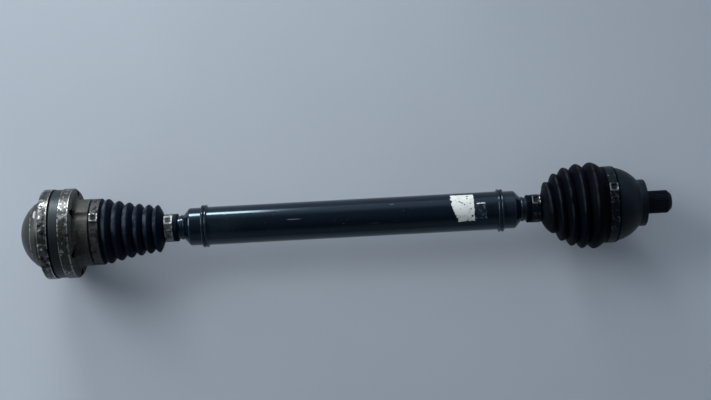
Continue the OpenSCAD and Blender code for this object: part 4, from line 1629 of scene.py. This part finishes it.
@dataclass
class OutboardBoot:
    """The five-fold boot between the shaft and the bell."""

    sleeve: Point = OUTBOARD_SLEEVE
    sleeve_r: float = SLEEVE_RADIUS
    bore: float = STUB_NECK + SEAT_GAP
    slope: float = 1.5
    lip: float = 0.5
    cuff: Point = (668.0, 683.4)
    cuff_r: float = OUTBOARD_CUFF
    seat: float = BELL_SEAT + SEAT_GAP
    mouth: float = BELL_MOUTH
    crooked: float = 3.2
    seed: float = 4.0
    pleats: Pleats = field(
        default_factory=lambda: Pleats.spaced(604.6, 10.4, 1.65, (31.2, 40.9, 47.4, 50.9, 51.9), 5.6)
    )

    def build(self, shop: Workshop) -> None:
        """Makes the boot between the shaft and the bell."""
        knots = self.pleats.knots()
        folds = [point for a, b in zip(knots, knots[1:]) for point in Pleats.run(a, b)]
        outside = self.head(knots[0]) + folds + self.tail(knots[-1])
        inside = self.inner_head(knots[0]) + self.pleats.sunk(folds) + self.inner_tail(knots[-1])
        piece = boot_piece(
            shop, "outboard_boot_bellows", BOOT_RUBBER, outside, inside, self.seed, self.dust, self.lean
        )
        shop.keep(piece, BOOT_RUBBER, None, "outboard_boot")
        start, end = ((x * MM, 0.0, 0.0) for x in (self.sleeve[1] - 2.0, self.cuff[0] - 4.0))
        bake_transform(piece)
        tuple(start)
        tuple(end)

    def head(self, first: Point) -> list[Point]:
        """Outside of the sleeve up to the first fold."""
        x0, x1 = self.sleeve
        r, lip = self.sleeve_r, self.sleeve_r + self.lip
        points = [(x0, r - 0.4), (x0 + 0.1, r + 0.2), (x0 + 0.6, lip), (x0 + 5.5, lip)]
        points += [(x0 + 5.8, r), (x1 - 0.8, r)]
        return points + Pleats.run((x1, r + 0.6), first, 12, self.slope)

    def inner_head(self, first: Point) -> list[Point]:
        """Inside of the sleeve up to the first fold."""
        x0, x1 = self.sleeve
        run = Pleats.run((x1 + 2.2, self.bore + self.pleats.wall + 0.4), first, 10, self.slope)
        return [(x0, self.bore), (x1 + 1.4, self.bore)] + self.pleats.sunk(run)

    def tail(self, last: Point) -> list[Point]:
        """Outside from the last fold to the end of the cuff."""
        x0, x1 = self.cuff
        r, lip = self.cuff_r, self.cuff_r + self.lip
        points = [(x0, lip), (x0 + 3.0, lip), (x0 + 3.3, r)]
        points += [(x1 - 1.4, r), (x1 - 1.1, lip), (x1 - 0.3, lip), (x1, r)]
        return Pleats.run(last, (x0, lip), 12) + points

    def inner_tail(self, last: Point) -> list[Point]:
        """Inside from the last fold to the end of the cuff."""
        run = Pleats.run((last[0], last[1] - self.pleats.wall), (self.mouth - 0.2, self.seat), 6)
        return run + [(self.mouth, self.seat), (self.cuff[1], self.seat)]

    def dust(self, x: float, facing: float, phi: float) -> float:
        """Dust and painted highlight at a place: on the crests of the folds, and a little dust at the
        throat.

        Args:
            x: Place along the shaft.
            facing: How far the skin faces -X, from -1 to 1.
            phi: Angle from the top, in radians.

        Returns:
            A value from 0 to 1.
        """
        # Painted highlight with dust along the crests of the folds, on the sides that face the lamps.
        crest = max(ease(abs(x - top), 1.9, 0.3) for top, _ in self.pleats.tops)
        throat = 0.1 * ease(facing, 0.1, 0.8) * ease(x, 607.0, 601.0)
        return max(0.55 * crest * ease(facing, -0.45, 0.1) * ease(math.sin(phi), -0.9, 0.2), throat)

    def lean(self, x: float) -> float:
        """How crooked a fold sits, most in the small folds and nothing at both ends."""
        return -self.crooked * ease(x, 597.0, 604.0) * ease(x, 662.0, 620.0)


@dataclass
class Bell:
    """The outboard bell with its bearing shoulder, splined stub and threaded bore."""

    centre: float = 676.0
    sphere: float = 45.0
    seat: float = BELL_SEAT
    seat_end: float = 684.0
    mouth: float = BELL_MOUTH
    cavity: float = 39.0
    bottom: float = 31.0
    shoulder: float = 28.0
    shoulder_x: float = 720.0
    stub_end: float = 752.0
    tip: float = 13.7
    tooth: float = 0.9
    teeth: int = 36
    tooth_reach: float = 1.2
    tooth_slope: float = 1.8
    bore: float = 7.25
    bore_start: float = 718.0
    lead_in: float = 2.0
    pitch: float = 1.5
    thread_deep: float = 0.75

    @property
    def root(self) -> float:
        """Radius at the feet of the spline's teeth."""
        return self.tip - self.tooth

    def build(self, shop: Workshop) -> None:
        """Makes the bell and its spline."""
        piece = lathe("outboard_bell_forging", self.outline(), 168, self.thread, {"dust": self.dust})
        shop.ring(piece, self.spline_tooth(), shop.add, FORGED, self.teeth, 0.0, 360.0 / self.teeth)
        shop.keep(piece, FORGED, Body.OUTBOARD, "outboard_bell")

    def dust(self, x: float, r: float, phi: float) -> float:
        """How light the corner between bell and shoulder is painted: a painted highlight line with dust."""
        foot = self.centre + self.sphere * math.sin(math.acos(self.shoulder / self.sphere))
        return 0.9 * ease(abs(x - foot), 1.6, 0.5) if r > self.tip * 2.0 else 0.0

    def spline_tooth(self) -> bpy.types.Object:
        """Makes the tooth at the top of the stub, whose far end slopes down to its foot."""
        low = self.root - 0.5
        step = math.tau / self.teeth
        flank = [(0.4, low, low), (0.36, self.root, self.root)]
        flank += [(0.16, self.tip, self.tip - 0.12), (0.11, self.tip, self.tip)]
        left = [(-r * math.sin(share * step), height) for share, r, height in flank]
        outline = left + [(-y, z) for y, z in reversed(left)]
        tooth = bar("spline_tooth", outline, self.shoulder_x + 2.4, self.stub_end - 4.6)
        for vertex in tooth.data.vertices:
            if vertex.co.x > (self.stub_end - 5.0) * MM and vertex.co.z > (self.root - 0.1) * MM:
                vertex.co.x += self.tooth_reach * MM - (vertex.co.z - self.root * MM) * self.tooth_slope
        return tooth

    def arc(self, radius: float, first: float, last: float, steps: int) -> list[Point]:
        """Points on a sphere about the centre of the joint.

        Args:
            radius: Radius of the sphere.
            first: Angle of the first point from the plane of the centre, in radians.
            last: Angle of the last point.
            steps: Number of points, less one.

        Returns:
            Place and radius of each point.
        """
        turns = [first + (last - first) * k / steps for k in range(steps + 1)]
        return [(self.centre + radius * math.sin(a), radius * math.cos(a)) for a in turns]

    def outline(self) -> list[Point]:
        """Outline of the bell from the rim of its mouth round the stub and back through its hollow."""
        first = math.asin((self.seat_end - self.centre) / self.sphere)
        last = math.acos(self.shoulder / self.sphere) - 0.045
        arc = self.arc(self.sphere, first, last, 24)
        outer = rounded([
            (self.mouth, self.seat - 4.6, 0.0),
            (self.mouth, self.seat, 0.8),
            (self.seat_end - 0.1, self.seat, 0.2),
        ])
        outer += [(self.seat_end, arc[0][1] - 0.5)] + arc
        start = math.asin(self.bottom / self.cavity)
        stop = -math.asin((self.centre - self.mouth - 3.0) / self.cavity)
        hollow = [(self.bore_start, self.bore), (self.bore_start - 4.0, 0.0)]
        hollow += [(self.centre + self.bottom, 0.0)] + self.arc(self.cavity, start, stop, 20)
        return outer + self.stub(arc[-1]) + self.threaded_run() + hollow

    def stub(self, foot: Point) -> list[Point]:
        """Outline from the foot of the bell over the shoulder and the stub to its bore."""
        return rounded([
            (foot[0] - 1.0, foot[1] + 1.6, 0.0),
            (foot[0] + 1.4, self.shoulder, 2.2),
            (self.shoulder_x, self.shoulder, 1.0),
            (self.shoulder_x, self.tip + 1.2, 0.8),
            (self.shoulder_x + 1.0, self.tip - 0.3, 0.6),
            (self.shoulder_x + 3.0, self.tip - 0.3, 0.3),
            (self.shoulder_x + 3.5, self.root, 0.3),
            (self.stub_end - 4.4, self.root, 2.4),
            (self.stub_end - 0.9, self.root - 2.2, 1.4),
            (self.stub_end, self.root - 3.4, 0.6),
            (self.stub_end, self.bore + 1.2, 0.4),
            (self.stub_end - self.lead_in, self.bore, 0.0),
        ])[1:]

    def threaded_run(self) -> list[Point]:
        """Points along the bore, six to each turn of the thread."""
        top = self.stub_end - self.lead_in
        length = top - self.bore_start
        count = int(length / self.pitch * 6)
        return [(top - length * k / count, self.bore) for k in range(1, count)]

    def thread(self, x: float, r: float, phi: float) -> Point:
        """Cuts the thread of the hub bolt into the bore."""
        top = self.stub_end - self.lead_in
        if abs(r - self.bore) > 1e-6 or not self.bore_start + 1.0 <= x <= top - 0.2:
            return x, r
        turn = (x / self.pitch - phi / math.tau) % 1.0
        return x, r + self.thread_deep * (1.0 - abs(2.0 * turn - 1.0))


@dataclass
class Label:
    """A scrap of a blank white label on the tube, or of the glue beside it."""

    name: str = "label_scrap"
    finish: Finish = PAPER
    x: Point = (486.3, 513.6)
    angle: Point = (-27.0, 63.0)
    slant: float = 8.0
    radius: float = TUBE_RADIUS + 0.03
    thick: float = 0.14
    cell: float = 0.45
    margin: float = 2.0
    margin_angle: float = 0.1

    def build(self, shop: Workshop) -> None:
        """Makes the torn scrap, bent round the tube."""
        columns = int((self.x[1] - self.x[0] + 2.0 * self.margin) / self.cell)
        a0, a1 = self.reach()
        rows = int((a1 - a0) * self.radius / self.cell)
        work = bmesh.new()
        grid: dict[tuple[int, int, int], bmesh.types.BMVert] = {}

        def place(i: float, j: float) -> Point:
            """Place along the shaft and angle of a spot on the grid."""
            return self.x[0] - self.margin + i * self.cell, a0 + (a1 - a0) * j / rows

        def corner(i: int, j: int, level: int) -> bmesh.types.BMVert:
            """The vertex at a corner of the grid, made once, at level 0 below and 1 on top."""
            if (i, j, level) not in grid:
                x, a = place(i, j)
                r = self.radius + self.thick * level
                grid[i, j, level] = work.verts.new((x * MM, r * math.sin(a) * MM, r * math.cos(a) * MM))
            return grid[i, j, level]

        cells = ((i, j) for i in range(columns) for j in range(rows))
        kept = {(i, j) for i, j in cells if self.holds(*place(i + 0.5, j + 0.5))}
        for i, j in kept:
            square = ((i, j), (i + 1, j), (i + 1, j + 1), (i, j + 1))
            beside = ((i, j - 1), (i + 1, j), (i, j + 1), (i - 1, j))
            for level in (0, 1):
                work.faces.new([corner(*spot, level) for spot in square])
            for k, cell in enumerate(beside):
                if cell not in kept:
                    p, q = square[k], square[(k + 1) % 4]
                    work.faces.new((corner(*p, 0), corner(*q, 0), corner(*q, 1), corner(*p, 1)))
        shop.keep(close_mesh(self.name, work), self.finish, Body.SHAFT)

    def reach(self) -> Point:
        """Lowest and highest angle of the grid, in radians."""
        low, high = (math.radians(degrees) for degrees in self.angle)
        return low - self.margin_angle, high + self.margin_angle

    def holds(self, x: float, a: float) -> bool:
        """Whether the scrap still covers a place along the shaft and an angle in radians."""
        ragged = 1.5 * jitter(x, TUBE_RADIUS, a, 5.0, 11.0) + 0.8 * jitter(x, TUBE_RADIUS, a, 1.8, 12.0)
        low, high = (math.radians(degrees) for degrees in self.angle)
        left = self.x[0] + self.slant * ease(a, math.radians(30.0), low)
        spare = (
            x - left + 1.6 * ragged,
            self.x[1] - x + 0.5 * ragged,
            (a - low) * self.radius + 0.6 * ragged,
            (high - a) * self.radius + 0.6 * ragged,
        )
        return min(spare) > 0.0


@dataclass
class Inside:
    """Races, cages, balls and springs, which keep their CAD shape and get their finishes."""

    finishes: dict[str, Finish] = field(
        default_factory=lambda: {
            "inner_race": RACE_STEEL,
            "cage": RACE_STEEL,
            "ball": BALL_STEEL,
            "circlip": SPRING_STEEL,
            "spring_washer": SPRING_STEEL,
        }
    )

    def dress(self) -> None:
        """Assigns the finishes to the CAD nodes."""
        for name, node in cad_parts.items():
            for word, finish in self.finishes.items():
                if word in name:
                    for slot in node.material_slots:
                        slot.link = "OBJECT"
                        slot.material = finish.material()


@dataclass(frozen=True)
class Lamp:
    """A rectangular lamp: places and sizes in metres, power in watts and spread in degrees."""

    name: str
    place: tuple[float, float, float]
    aim: tuple[float, float, float]
    size: Point
    power: float
    spread: float = 180.0

    def build(self) -> None:
        """Adds the lamp to the scene."""
        light = bpy.data.lights.new(self.name, "AREA")
        light.shape = "RECTANGLE"
        light.size, light.size_y = self.size
        light.energy = self.power
        light.spread = math.radians(self.spread)
        lamp = bpy.data.objects.new(self.name, light)
        lamp.location = self.place
        lamp.rotation_euler = (Vector(self.aim) - Vector(self.place)).to_track_quat("-Z", "Y").to_euler()
        bpy.context.scene.collection.objects.link(lamp)


@dataclass
class Studio:
    """Floor, walls, lamps and the camera that looks straight down, with places and sizes in metres."""

    floor_z: float = -0.0542
    floor_half: float = 6.0
    aim: Point = (0.3732, 0.0217)
    height: float = 1.5
    turn: float = -3.08
    focal: float = 63.0
    floor_colour: Colour = (0.545, 0.603, 0.678)
    wall_colour: Colour = (0.80, 0.90, 1.0)
    wall_strength: float = 0.95
    ceiling_share: float = 0.2
    far_share: float = 0.22
    bright_side: tuple[float, float, float] = (-0.45, 0.89, 0.0)
    lamps: tuple[Lamp, ...] = (
        Lamp("key", (-1.6, 1.1, 1.3), (0.36, 0.0, 0.0), (1.4, 1.2), 30.0),
        Lamp("window", (-0.3, 2.0, 0.42), (0.12, 0.0, 0.02), (0.8, 0.5), 2.8, 50.0),
    )

    def build(self) -> None:
        """Makes the floor, the world, the lamps and the camera."""
        self.build_floor()
        self.build_world()
        for lamp in self.lamps:
            lamp.build()
        self.build_camera()

    def build_floor(self) -> None:
        """Makes the plain pale floor."""
        half = self.floor_half
        mesh = bpy.data.meshes.new("floor")
        corners = [(-half, -half), (half, -half), (half, half), (-half, half)]
        mesh.from_pydata([(x, y, self.floor_z) for x, y in corners], [], [(0, 1, 2, 3)])
        floor = new_object("floor", mesh)
        g = Graph("floor_pale")
        cloud = g.noise(2.4, detail=3.0)
        lighter = tuple(share * 1.06 for share in self.floor_colour)
        shade = g.mix(g.step(cloud, 0.3, 0.7), self.floor_colour, lighter)
        mesh.materials.append(g.finish(Base_Color=shade, Roughness=0.9, Specular_IOR_Level=0.0))

    def build_world(self) -> None:
        """Sets pale walls, brighter on one side, below a dark ceiling."""
        world = bpy.data.worlds.new("studio_walls")
        world.use_nodes = True
        nodes, links = world.node_tree.nodes, world.node_tree.links
        light = nodes["Background"]
        light.inputs["Color"].default_value = (*self.wall_colour, 1.0)
        way = nodes.new("ShaderNodeTexCoord").outputs["Generated"]
        parts = nodes.new("ShaderNodeSeparateXYZ")
        links.new(way, parts.inputs[0])
        side = nodes.new("ShaderNodeVectorMath")
        side.operation = "DOT_PRODUCT"
        side.inputs[1].default_value = self.bright_side
        links.new(way, side.inputs[0])
        shares = []
        for value, low, high, bottom, top in (
            (parts.outputs["Z"], 0.45, 0.85, self.wall_strength, self.wall_strength * self.ceiling_share),
            (side.outputs["Value"], -0.9, 0.9, self.far_share, 1.0),
        ):
            ramp = nodes.new("ShaderNodeMapRange")
            ramp.interpolation_type = "SMOOTHSTEP"
            links.new(value, ramp.inputs["Value"])
            for key, number in (("From Min", low), ("From Max", high), ("To Min", bottom), ("To Max", top)):
                ramp.inputs[key].default_value = number
            shares.append(ramp.outputs["Result"])
        strength = nodes.new("ShaderNodeMath")
        strength.operation = "MULTIPLY"
        links.new(shares[0], strength.inputs[0])
        links.new(shares[1], strength.inputs[1])
        links.new(strength.outputs[0], light.inputs["Strength"])
        bpy.context.scene.world = world

    def build_camera(self) -> None:
        """Sets the camera over the shaft."""
        lens = bpy.data.cameras.new("camera")
        lens.sensor_fit = "HORIZONTAL"
        lens.sensor_width = 36.0
        lens.lens = self.focal
        camera = bpy.data.objects.new("camera", lens)
        camera.location = (*self.aim, self.height)
        camera.rotation_euler = (0.0, 0.0, math.radians(self.turn))
        bpy.context.scene.collection.objects.link(camera)
        bpy.context.scene.camera = camera
        bpy.context.scene.view_settings.view_transform = "Standard"


def main() -> None:
    """Builds every piece."""
    logging.basicConfig(level=logging.INFO, format="%(name)s: %(message)s")
    Studio().build()
    shop = Workshop()
    labels = (
        Label(),
        Label("label_sliver", PAPER, (515.4, 526.6), (24.2, 26.6), slant=0.0),
        Label("label_glue", GLUE, (514.6, 528.4), (-22.0, 21.0), slant=0.0, thick=0.06),
    )
    clamps = (
        Clamp("inboard_large_clamp", 58.8, INBOARD_CUFF, 25.0, CLAMP_STEEL, Body.INBOARD),
        Clamp("inboard_small_clamp", 143.2, SLEEVE_RADIUS, 31.0, CLAMP_BRIGHT, Body.SHAFT),
        Clamp("outboard_small_clamp", 583.6, SLEEVE_RADIUS, 35.0, CLAMP_BLACK, Body.SHAFT),
        Clamp("outboard_large_clamp", 671.6, OUTBOARD_CUFF, 26.0, CLAMP_BLACK, Body.OUTBOARD),
    )
    parts: dict[str, Part] = {
        "flange": Flange(),
        "shaft": Shaft(),
        "inboard boot": InboardBoot(),
        "outboard boot": OutboardBoot(),
        "bell": Bell(),
    }
    parts.update({part.name.replace("_", " "): part for part in (*labels, *clamps)})
    for name, part in parts.items():
        part.build(shop)
        LOG.info("made the %s", name)
    Inside().dress()
    LOG.info("dressed the races, cages, balls and springs")


if __name__ == "__main__":
    main()
